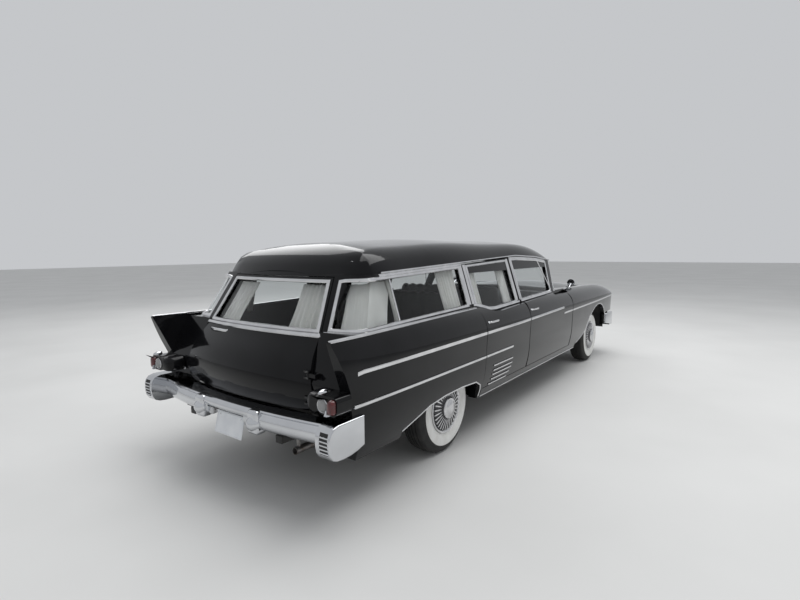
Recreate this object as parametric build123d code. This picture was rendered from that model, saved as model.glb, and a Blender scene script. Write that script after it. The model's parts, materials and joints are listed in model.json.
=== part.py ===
from build123d import *
import os
from math import atan, atan2, cos, degrees, radians, sin, sqrt, tan

os.makedirs("parts", exist_ok=True)

# A long hearse with tail fins. Front faces -Y, the car's left is +X, up is +Z.
# The origin is the middle of the footprint on the floor. All sizes in millimetres.

# Driving sizes
WHEELBASE = 3962.0
TRACK = 1549.0
REAR_AXLE_Y = 1719.0
FRONT_AXLE_Y = REAR_AXLE_Y - WHEELBASE
HUB_Z = 364.0
SILL_Z = 350.0
DOOR_BOTTOM_Z = 431.0
CREASE_Z = 710.0
WIDE_Z = 905.0
SHUT_GAP = 6.0
SEAT_GAP = 0.3

# Stations of the body's side along Y
NOSE_Y = -3080.0
FRONT_DOOR_Y = -1000.0
B_POST_Y = 342.0
C_POST_Y = 1294.0
TAIL_Y = 3087.0

# Walls
DOOR_THICK = 90.0
FENDER_THICK = 45.0
QUARTER_THICK = 80.0
FIN_TOP_THICK = 26.0
UPPER_THICK = 45.0
GLASS = 6.0

# Hinges of the side doors, from the widest skin and the front edge
HINGE_IN = 40.0
HINGE_BACK = 40.0
HINGE_SWEEP = 63.0
HINGE_PIN_R = 6.0
HINGE_EYE_R = 11.0
HINGE_Z = (640.0, 880.0)
HINGE_HIGH = 24.0
POST_CLEAR = 22.0
# The front door's rear edge slants in, and its window frame ends ahead of the middle post
EDGE_SLANT = 0.37
FRAME_BACK = 26.0
POST_CAP = (330.0, 339.0)
SIDE_DOOR_DROP = 10.0

# Body side sections: y, sill x, crease x, widest x, belt x, belt z
SIDE_ROWS = (
    (-3080, 905, 945, 955, 890, 962),
    (-2729, 918, 966, 978, 875, 1052),
    (-2243, 926, 982, 992, 862, 1092),
    (-1500, 931, 995, 1005, 854, 1108),
    (-1000, 933, 999, 1009, 858, 1112),
    (0, 933, 1001, 1012, 880, 1114),
    (900, 933, 1002, 1014, 892, 1114),
    (1719, 933, 1003, 1016, 928, 1112),
    (2400, 931, 1001, 1014, 952, 1107),
    (2800, 926, 994, 1006, 962, 1105),
    (3087, 910, 982, 996, 968, 1107),
)

# Upper body outline in plan at two heights: z, side x, corner start y, corner mid x and y,
# corner end x and y, rear arc mid x and y, rear middle y
LOW_OUTLINE = (1060, 889, 2630, 868, 2726, 795, 2775, 420, 2838, 2860)
TOP_OUTLINE = (1560, 732, 2372, 714, 2452, 655, 2495, 350, 2540, 2556)
UPPER_FRONT_Y = -980.0

# Roof sections: y, gutter x, crown z
ROOF_ROWS = (
    (-1000, 712, 1500),
    (-760, 736, 1600),
    (-400, 748, 1678),
    (100, 752, 1703),
    (900, 756, 1703),
    (1700, 760, 1690),
    (2200, 762, 1668),
    (2480, 752, 1618),
    (2615, 690, 1520),
)
ROOF_THICK = 32.0

# Gutter line over the side windows: y, z
GUTTER_REAR = (2760, 1434)
GUTTER_TOP = (143, 1536)
GUTTER_BEND = (-400, 1516)
GUTTER_FRONT = (-840, 1468)

# Belt line that cuts the doors' tops: y, z
BELT_BUMP = (1256, 1118)
BELT_DIP = (900, 1056)
BELT_FRONT = (-640, 1104)

# Windows of the upper side: front y at base, front y at top, rear y at base, rear y at top
FRONT_WINDOW = (-545, -655, 278, 282)
SIDE_WINDOW = (402, 406, 1228, 1226)
QUARTER_WINDOW = (1362, 1358, 2960, 2760)
WINDOW_RAIL = 34.0
WINDOW_SILL = 22.0
POST_LINE = (-590, -705)

# Rear door
REAR_DOOR_TOP = (530, 1424)
REAR_DOOR_BELT = (604, 1066)
REAR_GLASS_TOP = (504, 1398)
REAR_GLASS_BASE = (574, 1092)
# Rear door bulge in plan: z, half width, edge y, middle y
BULGE_ROWS = (
    (622, 676, 2925, 2985),
    (720, 686, 2958, 3022),
    (850, 662, 2950, 3016),
    (980, 626, 2880, 2935),
    (1080, 604, 2806, 2858),
)
REAR_HINGE = (-668, 2972)


def box(x, y, z):
    size = (x[1] - x[0], y[1] - y[0], z[1] - z[0])
    centre = ((x[0] + x[1]) / 2, (y[0] + y[1]) / 2, (z[0] + z[1]) / 2)
    return Pos(*centre) * Box(*size)


def side_prism(points, x):
    """A polygon in Y and Z, drawn out from x[0] to x[1]."""
    face = Face(Wire.make_polygon([(x[0], p[0], p[1]) for p in points]))
    return Part() + Solid.extrude(face, Vector(x[1] - x[0], 0, 0))


def front_prism(points, y):
    """A polygon in X and Z, drawn out from y[0] to y[1]."""
    face = Face(Wire.make_polygon([(p[0], y[0], p[1]) for p in points]))
    return Part() + Solid.extrude(face, Vector(0, y[1] - y[0], 0))


def plan_prism(edges, z):
    """Closed edges in plan, drawn up from z[0] to z[1]."""
    face = Face(Wire(edges)).moved(Location((0, 0, z[0])))
    return Part() + Solid.extrude(face, Vector(0, 0, z[1] - z[0]))


def rod(start, end, radius):
    line = Vector(*end) - Vector(*start)
    plane = Plane(origin=start, z_dir=line)
    return Part() + Solid.make_cylinder(radius, line.length, plane)


def mirror_x(part):
    return mirror(part, about=Plane.YZ)


def turning_arc(p, q, turn):
    """An arc in three dimensions from p to q whose tangent turns by this many degrees to the left
    as seen with the side's outline read in X and Z."""
    a, b = Vector(*p), Vector(*q)
    chord = b - a
    rise = chord.length / 2 * tan(radians(turn / 4))
    out = Vector(chord.Z, 0, -chord.X).normalized()
    return Edge.make_three_point_arc(a, (a + b) / 2 + out * rise, b)


def lean(dx, dz):
    return degrees(2 * atan(abs(dx) / abs(dz)))


def side_wire(row, low, mid, top):
    """One closed section of the left wall: sill, crease, widest line and belt, and the inner face."""
    y, sill_x, crease_x, wide_x, belt_x, belt_z = row
    sill = (sill_x, y, SILL_Z)
    crease = (crease_x, y, CREASE_Z)
    wide = (wide_x, y, WIDE_Z)
    belt = (belt_x, y, belt_z)
    inner_belt = (belt_x - top, y, belt_z)
    inner_wide = (wide_x - mid, y, WIDE_Z - 30)
    inner_sill = (sill_x - low, y, SILL_Z)
    return Wire([
        turning_arc(sill, crease, lean(crease_x - sill_x, CREASE_Z - SILL_Z)),
        Edge.make_line(crease, wide),
        turning_arc(wide, belt, lean(wide_x - belt_x, belt_z - WIDE_Z)),
        Edge.make_line(belt, inner_belt),
        Edge.make_line(inner_belt, inner_wide),
        Edge.make_line(inner_wide, inner_sill),
        Edge.make_line(inner_sill, sill),
    ])


def side_wall(rows, thick):
    """The left wall lofted through rows; thick gives low, mid and top thickness for a row."""
    wires = [side_wire(row, *thick(row)) for row in rows]
    return Part() + Solid.make_loft(wires)


def lining_wall(rows, thick, deep):
    """A wall of its own behind the doors' inner face, clear of it."""
    wires = []
    for row in rows:
        y, sill_x, crease_x, wide_x, belt_x, top_z = row
        low, mid, top = thick(row)
        low, mid, top = low + POST_CLEAR, mid + POST_CLEAR, top + POST_CLEAR
        wires.append(Wire.make_polygon([
            (sill_x - low, y, SILL_Z), (wide_x - mid, y, WIDE_Z - 30), (belt_x - top, y, top_z),
            (belt_x - top - deep, y, top_z), (wide_x - mid - deep, y, WIDE_Z - 30),
            (sill_x - low - deep, y, SILL_Z)]))
    return Part() + Solid.make_loft(wires)


def door_thick(row):
    return (DOOR_THICK - 20, DOOR_THICK, DOOR_THICK)


def fender_thick(row):
    return (FENDER_THICK, FENDER_THICK, FENDER_THICK)


def quarter_thick(row):
    share = min(1.0, max(0.0, (row[0] - 2300) / (TAIL_Y - 2300)))
    top = DOOR_THICK + share * (FIN_TOP_THICK - DOOR_THICK)
    return (QUARTER_THICK, QUARTER_THICK, top)


def blend_rows(low, high, z):
    t = (z - low[0]) / (high[0] - low[0])
    return [a + t * (b - a) for a, b in zip(low, high)]


def outline_wire(z, inset, front=UPPER_FRONT_Y):
    """Upper body outline in plan at height z, set in by inset."""
    _, side, y1, mx, my, ex, ey, rx, ry, back = blend_rows(LOW_OUTLINE, TOP_OUTLINE, z)
    k = inset
    d = inset * 0.7
    side, mx, my, ex, ey = side - k, mx - d, my - d, ex - k * 0.35, ey - k * 0.93
    ry, back = ry - k, back - k
    pts = {
        "lf": (side, front, z), "l1": (side, y1, z), "lm": (mx, my, z), "l2": (ex, ey, z),
        "lr": (rx, ry, z), "c": (0, back, z), "rr": (-rx, ry, z), "r2": (-ex, ey, z),
        "rm": (-mx, my, z), "r1": (-side, y1, z), "rf": (-side, front, z),
    }
    return Wire([
        Edge.make_line(pts["lf"], pts["l1"]),
        Edge.make_three_point_arc(pts["l1"], pts["lm"], pts["l2"]),
        Edge.make_three_point_arc(pts["l2"], pts["c"], pts["r2"]),
        Edge.make_three_point_arc(pts["r2"], pts["rm"], pts["r1"]),
        Edge.make_line(pts["r1"], pts["rf"]),
        Edge.make_line(pts["rf"], pts["lf"]),
    ])


def upper_block(inset, low=LOW_OUTLINE[0], high=TOP_OUTLINE[0]):
    return Part() + Solid.make_loft([outline_wire(low, inset), outline_wire(high, inset)], True)


def gutter_z(y):
    if y > GUTTER_TOP[0]:
        t = (y - GUTTER_TOP[0]) / (GUTTER_REAR[0] - GUTTER_TOP[0])
        return GUTTER_TOP[1] + t * (GUTTER_REAR[1] - GUTTER_TOP[1])
    if y > GUTTER_BEND[0]:
        t = (y - GUTTER_BEND[0]) / (GUTTER_TOP[0] - GUTTER_BEND[0])
        return GUTTER_BEND[1] + t * (GUTTER_TOP[1] - GUTTER_BEND[1])
    t = min(1.0, (y - GUTTER_BEND[0]) / (GUTTER_FRONT[0] - GUTTER_BEND[0]))
    return GUTTER_BEND[1] + t * (GUTTER_FRONT[1] - GUTTER_BEND[1])


def above_gutter(drop=0.0, high=1900.0):
    """All that lies above the gutter line, moved down by drop."""
    line = [(3300, GUTTER_REAR[1]), GUTTER_REAR, GUTTER_TOP, GUTTER_BEND, GUTTER_FRONT,
            (-1300, GUTTER_FRONT[1])]
    points = [(y, z - drop) for y, z in line]
    return side_prism(points + [(-1300, high), (3300, high)], (-1100, 1100))


def above_belt(drop=0.0):
    """All that lies above the doors' belt line, with its dip behind the side door's handle."""
    line = [(1400, BELT_BUMP[1]), BELT_BUMP, (1120, 1090), (1010, 1062), BELT_DIP,
            BELT_FRONT, (-1100, 1110)]
    points = [(y, z - drop) for y, z in line]
    return side_prism(points + [(-1100, 1400), (1400, 1400)], (0, 1100))


def belt_z(y):
    t = (y - BELT_DIP[0]) / (BELT_FRONT[0] - BELT_DIP[0])
    return BELT_DIP[1] + t * (BELT_FRONT[1] - BELT_DIP[1])


def window_cut(window, base, rail=WINDOW_RAIL, x=(600, 1000)):
    """The opening of one side window, in side view."""
    y0, y1, y2, y3 = window
    points = [(y0, base[0]), (y1, gutter_z(y1) - rail)]
    for bend in (GUTTER_BEND, GUTTER_TOP):
        if y1 < bend[0] < y3:
            points.append((bend[0], bend[1] - rail))
    points += [(y3, gutter_z(y3) - rail), (y2, base[1])]
    return side_prism(points, x)


def door_window(window):
    """A door's window opening, down to the belt line."""
    return window_cut(window, (1000, 1000)) & above_belt(-WINDOW_SILL)


def save(part, name):
    shape = part
    if hasattr(part, "wrapped") and isinstance(part, Part) and len(part.solids()) == 1:
        shape = part.solids()[0]
    shape.label = name
    export_step(shape, "parts/" + name + ".step")


# Shared masters
DOOR_WALL = side_wall(SIDE_ROWS[3:8], door_thick)
QUARTER_WALL = side_wall(SIDE_ROWS[6:], quarter_thick)
FENDER_WALL = side_wall(SIDE_ROWS[:6], fender_thick)
POST_WALL = lining_wall(SIDE_ROWS[3:8], door_thick, 50)
SHELL = upper_block(0) - upper_block(UPPER_THICK, LOW_OUTLINE[0] - 1, TOP_OUTLINE[0] + 1)
FIXED_SHELL = SHELL - above_gutter(SEAT_GAP)
SHELL = SHELL - above_gutter(SHUT_GAP)


def hinge_axis(front_y, wide_x):
    return (wide_x - HINGE_IN, front_y + HINGE_BACK)


FRONT_DOOR_AXIS = hinge_axis(FRONT_DOOR_Y, 1009)
SIDE_DOOR_AXIS = hinge_axis(B_POST_Y + SHUT_GAP / 2, 1013)


def hinge_pocket(axis, inner_x):
    """Room in a door for its two hinges, open to its inner face and its front edge."""
    x, y = axis
    room = Part()
    for z in HINGE_Z:
        room += box((inner_x, x + HINGE_EYE_R + 4), (y - HINGE_BACK - 5, y + HINGE_EYE_R + 4),
                    (z, z + HINGE_HIGH))
    return room


def hinge_pins(axis):
    x, y = axis
    pins = Part()
    for z in HINGE_Z:
        pins += rod((x, y, z - 8), (x, y, z + HINGE_HIGH + 8), HINGE_PIN_R)
    return pins


def hinge_arms(axis, post_x):
    """Arms from a post to the eyes round the door's pins."""
    x, y = axis
    arms = Part()
    for z in HINGE_Z:
        low, high = z + SEAT_GAP, z + HINGE_HIGH - SEAT_GAP
        arm = box((post_x, x), (y - 9, y + 9), (low, high))
        arm += rod((x, y, low), (x, y, high), HINGE_EYE_R)
        arm -= rod((x, y, low - 1), (x, y, high + 1), HINGE_PIN_R + SEAT_GAP)
        arms += arm
    return arms


def door(front_y, rear_y, window, axis, inner_x, post_cut=None, frame_back=0.0):
    """A side door: the wall below the belt, the window frame above it, and its hinge pins."""
    low = DOOR_WALL & box((600, 1100), (front_y, rear_y), (DOOR_BOTTOM_Z, 1300))
    low -= above_belt()
    frame = SHELL & box((600, 1000), (front_y, rear_y - frame_back), (1000, 1600))
    if post_cut is not None:
        low -= box((600, 1100), (-1100, POST_LINE[0] - SHUT_GAP), (1078, 1300))
        frame -= post_cut
    whole = low + frame - door_window(window)
    whole -= hinge_pocket(axis, inner_x)
    whole += hinge_pins(axis)
    return whole


def front_of_post(shift=0.0):
    """Room ahead of the front door's window frame."""
    return side_prism([(POST_LINE[0] + shift, 1000), (POST_LINE[1] + shift, 1480),
                       (POST_LINE[1] + shift, 1700), (-1400, 1700), (-1400, 1000)], (500, 1100))


front_door = door(FRONT_DOOR_Y + SHUT_GAP / 2, B_POST_Y - SHUT_GAP / 2, FRONT_WINDOW,
                  FRONT_DOOR_AXIS, 850, front_of_post(), FRAME_BACK - SHUT_GAP / 2)
side_door = door(B_POST_Y + SHUT_GAP / 2, C_POST_Y - SHUT_GAP / 2, SIDE_WINDOW,
                 SIDE_DOOR_AXIS, 850)
# Room for the side door's front edge as it swings out
edge_y = B_POST_Y - SHUT_GAP / 2
front_door -= plan_prism(Wire.make_polygon([
    (1018, edge_y, 0), (1018, edge_y + 40, 0), (800, edge_y + 40, 0),
    (800, edge_y - EDGE_SLANT * 218, 0)]).edges(), (400, 1078))
# The side door's frame moves back under the falling gutter as it swings
side_door -= above_gutter(SHUT_GAP + SIDE_DOOR_DROP)
save(front_door, "front_door_left")
save(mirror_x(front_door), "front_door_right")
save(side_door, "side_door_left")
save(mirror_x(side_door), "side_door_right")


GLASS_INSET = 18.0
GLASS_SHELL = upper_block(GLASS_INSET) - upper_block(GLASS_INSET + GLASS, LOW_OUTLINE[0] - 1,
                                                     TOP_OUTLINE[0] + 1)
quarter_base = (1136.0, 1100.0)
front_glass = GLASS_SHELL & door_window(FRONT_WINDOW) & box((0, 1100), (-1100, 1400), (1000, 1600))
side_glass = GLASS_SHELL & door_window(SIDE_WINDOW) & box((0, 1100), (-1100, 1400), (1000, 1600))
save(front_glass, "front_door_glass_left")
save(mirror_x(front_glass), "front_door_glass_right")
save(side_glass, "side_door_glass_left")
save(mirror_x(side_glass), "side_door_glass_right")

# Rear door


def bulge(grow=0.0, deep=90.0):
    """The rear door below its belt, lofted in height."""
    wires = []
    for z, half, edge_y, mid_y in BULGE_ROWS:
        h = half + grow
        inner = edge_y - deep
        wires.append(Wire([
            Edge.make_three_point_arc((h, edge_y, z), (0, mid_y, z), (-h, edge_y, z)),
            Edge.make_line((-h, edge_y, z), (-h, inner, z)),
            Edge.make_line((-h, inner, z), (h, inner, z)),
            Edge.make_line((h, inner, z), (h, edge_y, z)),
        ]))
    return Part() + Solid.make_loft(wires)


def door_panel(grow, low=1000, high=1600):
    """The rear door's outline above the belt, seen from behind."""
    (tx, tz), (bx, bz) = REAR_DOOR_TOP, REAR_DOOR_BELT
    slope = (bx - tx) / (tz - bz)
    g = grow
    top = (tx + g, tz + g)
    foot = (bx + g + slope * (bz - low), low)
    return front_prism([(-foot[0], foot[1]), foot, top, (-top[0], top[1])], (2300, 3200))


rear_frame = SHELL & door_panel(0)
rear_hole = front_prism([(-REAR_GLASS_BASE[0], REAR_GLASS_BASE[1]), REAR_GLASS_BASE,
                         REAR_GLASS_TOP, (-REAR_GLASS_TOP[0], REAR_GLASS_TOP[1])], (2300, 3200))
rear_frame -= rear_hole
rear_door = bulge() + rear_frame
rear_door -= rear_hole
REAR_HINGE_Z = (700.0, 860.0)
hx, hy = REAR_HINGE
for z in REAR_HINGE_Z:
    rear_door += rod((hx, hy, z - 26), (hx, hy, z + 26), HINGE_PIN_R)
    for lug_z in ((z - 26, z - 13), (z + 13, z + 26)):
        rear_door += box((hx, hx + 40), (hy - 26, hy + 5), lug_z)
    rear_door -= box((hx - 12, hx + 12), (hy - 12, hy + 12), (z - 12, z + 12)) - rod(
        (hx, hy, z - 12), (hx, hy, z + 12), HINGE_PIN_R)
save(rear_door, "rear_door")
rear_pane = GLASS_SHELL & rear_hole & box((-700, 700), (2400, 3000), (1000, 1500))
save(rear_pane, "rear_glass")

# Quarter panels with the fins
REAR_ARCH = [(1336, 300), (1336, 428), (1352, 472), (1440, 514), (1669, 527), (1919, 520),
             (2119, 495), (2325, 424), (2409, 396), (2420, 300)]
quarter = QUARTER_WALL & box((600, 1100), (C_POST_Y + SHUT_GAP / 2, TAIL_Y), (SILL_Z, 1300))
quarter -= side_prism(REAR_ARCH, (600, 1100))
quarter -= side_prism([(TAIL_Y + 5, 1110), (TAIL_Y + 50, 1110), (TAIL_Y + 50, 300), (2854, 300),
                       (2854, 652), (2940, 652), (2958, 806)], (600, 1100))
quarter -= box((600, 1100), (1280, 1310), (300, DOOR_BOTTOM_Z - SHUT_GAP))
corner = side_prism([(2690, 1092), (2808, 1092), (2955, 806), (2945, 660), (2850, 660),
                     (2850, 430), (2800, 430), (2800, 960), (2690, 1040)], (560, 950))
corner -= bulge(SHUT_GAP, 300)
corner -= door_panel(SHUT_GAP, 900)
pillars = FIXED_SHELL & box((500, 1100), (C_POST_Y + SHUT_GAP / 2, 3000), (1000, 1600))
pillars -= door_panel(SHUT_GAP)
pillars -= window_cut(QUARTER_WINDOW, quarter_base, x=(652, 1000))
quarter = quarter + corner + pillars
save(quarter, "quarter_left")
quarter_right = mirror_x(quarter)
for z in REAR_HINGE_Z:
    knuckle_z = (z - 12 + SEAT_GAP, z + 12 - SEAT_GAP)
    leaf = box((hx - 62, hx), (hy - 5, hy + 5), knuckle_z)
    leaf += box((hx - 62, hx - 40), (hy - 40, hy + 5), knuckle_z)
    leaf += rod((hx, hy, knuckle_z[0]), (hx, hy, knuckle_z[1]), HINGE_EYE_R)
    leaf -= rod((hx, hy, z - 20), (hx, hy, z + 20), HINGE_PIN_R + SEAT_GAP)
    quarter_right += leaf
save(quarter_right, "quarter_right")
quarter_pane = GLASS_SHELL & window_cut(QUARTER_WINDOW, quarter_base, x=(652, 1000))
save(Compound([quarter_pane.solids()[0], mirror_x(quarter_pane).solids()[0]]), "quarter_glass")

# Roof


def roof_wire(row, inset):
    y, gx, crown = row
    gz = gutter_z(y) - 40
    x, top = gx - inset, crown - inset
    rise = (top - 45 - gz)
    sx, sz = x - 0.87 * rise * 0.9, top - 42
    left = turning_arc((x, y, gz), (sx, y, sz), 80)
    right = turning_arc((-sx, y, sz), (-x, y, gz), 80)
    return Wire([
        left,
        Edge.make_three_point_arc((sx, y, sz), (0, y, top), (-sx, y, sz)),
        right,
        Edge.make_line((-x, y, gz), (x, y, gz)),
    ])


def roof_block(inset):
    return Part() + Solid.make_loft([roof_wire(row, inset) for row in ROOF_ROWS])


roof_front = [
    Edge.make_three_point_arc((790, -770, 0), (748, -890, 0), (650, -948, 0)),
    Edge.make_three_point_arc((650, -948, 0), (0, -1000, 0), (-650, -948, 0)),
    Edge.make_three_point_arc((-650, -948, 0), (-748, -890, 0), (-790, -770, 0)),
    Edge.make_line((-790, -770, 0), (-790, 2700, 0)),
    Edge.make_line((-790, 2700, 0), (790, 2700, 0)),
    Edge.make_line((790, 2700, 0), (790, -770, 0)),
]
roof = roof_block(0) & plan_prism(roof_front, (1300, 1800))
hollow = roof_block(ROOF_THICK) & box((-800, 800), (-880, 2510), (1300, 1800))
roof = roof - hollow
roof = roof & above_gutter()
save(roof, "roof")

# Front fenders and the hood
HOOD_ROWS = (
    (-1192, 686, 1100, 1132),
    (-1700, 694, 1098, 1140),
    (-2243, 698, 1084, 1130),
    (-2729, 692, 1042, 1092),
    (-3000, 680, 985, 1030),
    (-3070, 668, 950, 985),
)


def hood_edge(y):
    rows = sorted(HOOD_ROWS)
    for a, b in zip(rows, rows[1:]):
        if a[0] <= y <= b[0]:
            t = (y - a[0]) / (b[0] - a[0])
            return (a[1] + t * (b[1] - a[1]), a[2] + t * (b[2] - a[2]))
    return rows[0][1:3] if y < rows[0][0] else rows[-1][1:3]


hood_wires = []
for y, half, edge_z, crown_z in HOOD_ROWS:
    hood_wires.append(Wire([
        Edge.make_three_point_arc((half, y, edge_z), (0, y, crown_z), (-half, y, edge_z)),
        Edge.make_line((-half, y, edge_z), (-half, y, edge_z - 26)),
        Edge.make_three_point_arc((-half, y, edge_z - 26), (0, y, crown_z - 26), (half, y, edge_z - 26)),
        Edge.make_line((half, y, edge_z - 26), (half, y, edge_z)),
    ]))
HOOD_AXIS = (-1210.0, 1060.0)
HOOD_HINGE_X = 600.0
hood = Part() + Solid.make_loft(hood_wires)
for x in (HOOD_HINGE_X, -HOOD_HINGE_X - 14):
    for lug_x in (x - 12, x + 15):
        lug = box((lug_x, lug_x + 11), (HOOD_AXIS[0] - 9, HOOD_AXIS[0] + 9),
                  (HOOD_AXIS[1] - 8, 1092))
        hood += lug
    hood += rod((x - 8, *HOOD_AXIS), (x + 22, *HOOD_AXIS), 5)
save(hood, "hood")

crown_wires = []
for row in SIDE_ROWS[:5]:
    y, belt_x, top_z = row[0], row[4], row[5]
    hx, hz = hood_edge(max(y, -3070))
    hx += SHUT_GAP
    crown_wires.append(Wire([
        Edge.make_line((belt_x - 4, y, top_z - 1), (hx, y, hz)),
        Edge.make_line((hx, y, hz), (hx, y, hz - 26)),
        Edge.make_line((hx, y, hz - 26), (belt_x - FENDER_THICK + 4, y, top_z - 44)),
        Edge.make_line((belt_x - FENDER_THICK + 4, y, top_z - 44), (belt_x - 4, y, top_z - 1)),
    ]))
crown = Part() + Solid.make_loft(crown_wires)
FRONT_ARCH = [(-2740, 250), (-2712, 420), (-2690, 520), (-2640, 640), (-2560, 730), (-2440, 792),
              (-2320, 820), (-2180, 824), (-2040, 798), (-1902, 744), (-1790, 690), (-1700, 610),
              (-1632, 529), (-1560, 484), (-1462, 447), (-1380, 420), (-1296, 392), (-1290, 250)]
fender = FENDER_WALL & box((600, 1100), (NOSE_Y, FRONT_DOOR_Y - SHUT_GAP / 2), (SILL_Z, 1300))
fender += crown
fender -= side_prism(FRONT_ARCH, (600, 1100))
fender -= box((600, 1100), (-3200, -2700), (300, 660))
fender -= box((600, 1100), (-1300, -990), (300, DOOR_BOTTOM_Z - SHUT_GAP + SEAT_GAP))
fender -= rod((FRONT_DOOR_AXIS[0], FRONT_DOOR_AXIS[1], 300),
              (FRONT_DOOR_AXIS[0], FRONT_DOOR_AXIS[1], 1300), HINGE_SWEEP)
fender -= box((600, 1100), (FRONT_DOOR_Y - 60, FRONT_DOOR_Y + 60), (1079, 1300))
LAMP_X = (684.0, 834.0)
LAMP_Z = 806.0
LAMP_R = 68.0
lamp_panel = box((604, 934), (-3046, -3016), (664, 930))
for x in LAMP_X:
    lamp_panel -= rod((x, -3100, LAMP_Z), (x, -3000, LAMP_Z), LAMP_R)
fender += lamp_panel
save(fender, "fender_left")
save(mirror_x(fender), "fender_right")

lamps = []
for x in LAMP_X:
    lens = rod((x, -3050, LAMP_Z), (x, -2990, LAMP_Z), LAMP_R - SEAT_GAP)
    lamps += [lens, mirror_x(lens)]
save(Compound([lamp.solids()[0] for lamp in lamps]), "headlamps")

# Cowl with windscreen posts, firewall and the front doors' hinge posts
COWL_Z = 1121.0
SCREEN_LOW = (862, -690, 800, -900, 640, -1010, -1100)
SCREEN_TOP = (758, -790, 712, -885, 610, -932, -972)
SCREEN_Z = (COWL_Z + SEAT_GAP, GUTTER_FRONT[1] - SEAT_GAP)


def screen_edges(row, z, inset):
    x1, y1, mx, my, ex, ey, mid = row
    d = 0.7 * inset
    a, b, c = (x1 - inset, y1, z), (mx - d, my + d, z), (ex - 0.35 * inset, ey + 0.93 * inset, z)
    m = (0, mid + inset, z)
    neg = [(-p[0], p[1], p[2]) for p in (a, b, c)]
    return a, b, c, m, neg


def screen_wire(row, z, near, far):
    a, b, c, m, n = screen_edges(row, z, near)
    a2, b2, c2, m2, n2 = screen_edges(row, z, far)
    return Wire([
        Edge.make_three_point_arc(a, b, c),
        Edge.make_three_point_arc(c, m, n[2]),
        Edge.make_three_point_arc(n[2], n[1], n[0]),
        Edge.make_line(n[0], n2[0]),
        Edge.make_three_point_arc(n2[0], n2[1], n2[2]),
        Edge.make_three_point_arc(n2[2], m2, c2),
        Edge.make_three_point_arc(c2, b2, a2),
        Edge.make_line(a2, a),
    ])


windscreen = Part() + Solid.make_loft([screen_wire(SCREEN_LOW, SCREEN_Z[0], 8, 8 + GLASS),
                                       screen_wire(SCREEN_TOP, SCREEN_Z[1], 8, 8 + GLASS)], True)
save(windscreen, "windscreen")

TROUGH_Y = -1128.0
STRIP_Y = -1060.0 + SEAT_GAP
POST_END = -626.0
COWL_X = 691.5
a, b, c, m, n = screen_edges(SCREEN_LOW, 0, 60)
scuttle_edges = [
    Edge.make_line((866, STRIP_Y, 0), (866, POST_END, 0)),
    Edge.make_line((866, POST_END, 0), (a[0], POST_END, 0)),
    Edge.make_line((a[0], POST_END, 0), a),
    Edge.make_three_point_arc(a, b, c),
    Edge.make_three_point_arc(c, m, n[2]),
    Edge.make_three_point_arc(n[2], n[1], n[0]),
    Edge.make_line(n[0], (-a[0], POST_END, 0)),
    Edge.make_line((-a[0], POST_END, 0), (-866, POST_END, 0)),
    Edge.make_line((-866, POST_END, 0), (-866, STRIP_Y, 0)),
    Edge.make_line((-866, STRIP_Y, 0), (-COWL_X, STRIP_Y, 0)),
    Edge.make_line((-COWL_X, STRIP_Y, 0), (-COWL_X, TROUGH_Y, 0)),
    Edge.make_line((-COWL_X, TROUGH_Y, 0), (COWL_X, TROUGH_Y, 0)),
    Edge.make_line((COWL_X, TROUGH_Y, 0), (COWL_X, STRIP_Y, 0)),
    Edge.make_line((COWL_X, STRIP_Y, 0), (866, STRIP_Y, 0)),
]
cowl = plan_prism(scuttle_edges, (1086, COWL_Z))
cowl += box((-780, 780), (-1186, -1160), (380, 1050)) - box((-108, 108), (-1200, -1100), (300, 478))
cowl += box((-800, 800), (-1186, TROUGH_Y + 20), (1038, 1050))
cowl += box((-COWL_X, COWL_X), (TROUGH_Y, TROUGH_Y + 20), (1038, 1100))
for part_side in (1, -1):
    x0, x1 = sorted((part_side * 770, part_side * 800))
    cowl += box((x0, x1), (-1186, -1008), (426, 1050))
post = POST_WALL & box((600, 1000), (-1000, -925), (DOOR_BOTTOM_Z - SHUT_GAP + SEAT_GAP, 960))
post += box((770, 856), (-1030, -985), (DOOR_BOTTOM_Z - SHUT_GAP + SEAT_GAP, 930))
post += hinge_arms(FRONT_DOOR_AXIS, 850)
# Windscreen post between the glass and the door's frame
a_post = FIXED_SHELL & box((600, 1000), (-900, -500), (1100, 1500)) & side_prism(
    [(POST_LINE[0] - SHUT_GAP, 1000), (POST_LINE[1] - SHUT_GAP, 1480), (-790, 1480), (-650, 1000)],
    (600, 1000))
cowl += post + mirror_x(post) + a_post + mirror_x(a_post)
for x in (HOOD_HINGE_X, -HOOD_HINGE_X - 14):
    x_span = (x, x + 14)
    eye = rod((x, *HOOD_AXIS), (x + 14, *HOOD_AXIS), 12)
    eye += box(x_span, (HOOD_AXIS[0] - 9, HOOD_AXIS[0] + 9), (1012, HOOD_AXIS[1]))
    eye += box(x_span, (HOOD_AXIS[0] - 9, -1175), (1012, 1034))
    cowl += eye - rod((x - 1, *HOOD_AXIS), (x + 15, *HOOD_AXIS), 5 + SEAT_GAP)
save(cowl, "cowl")

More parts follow.
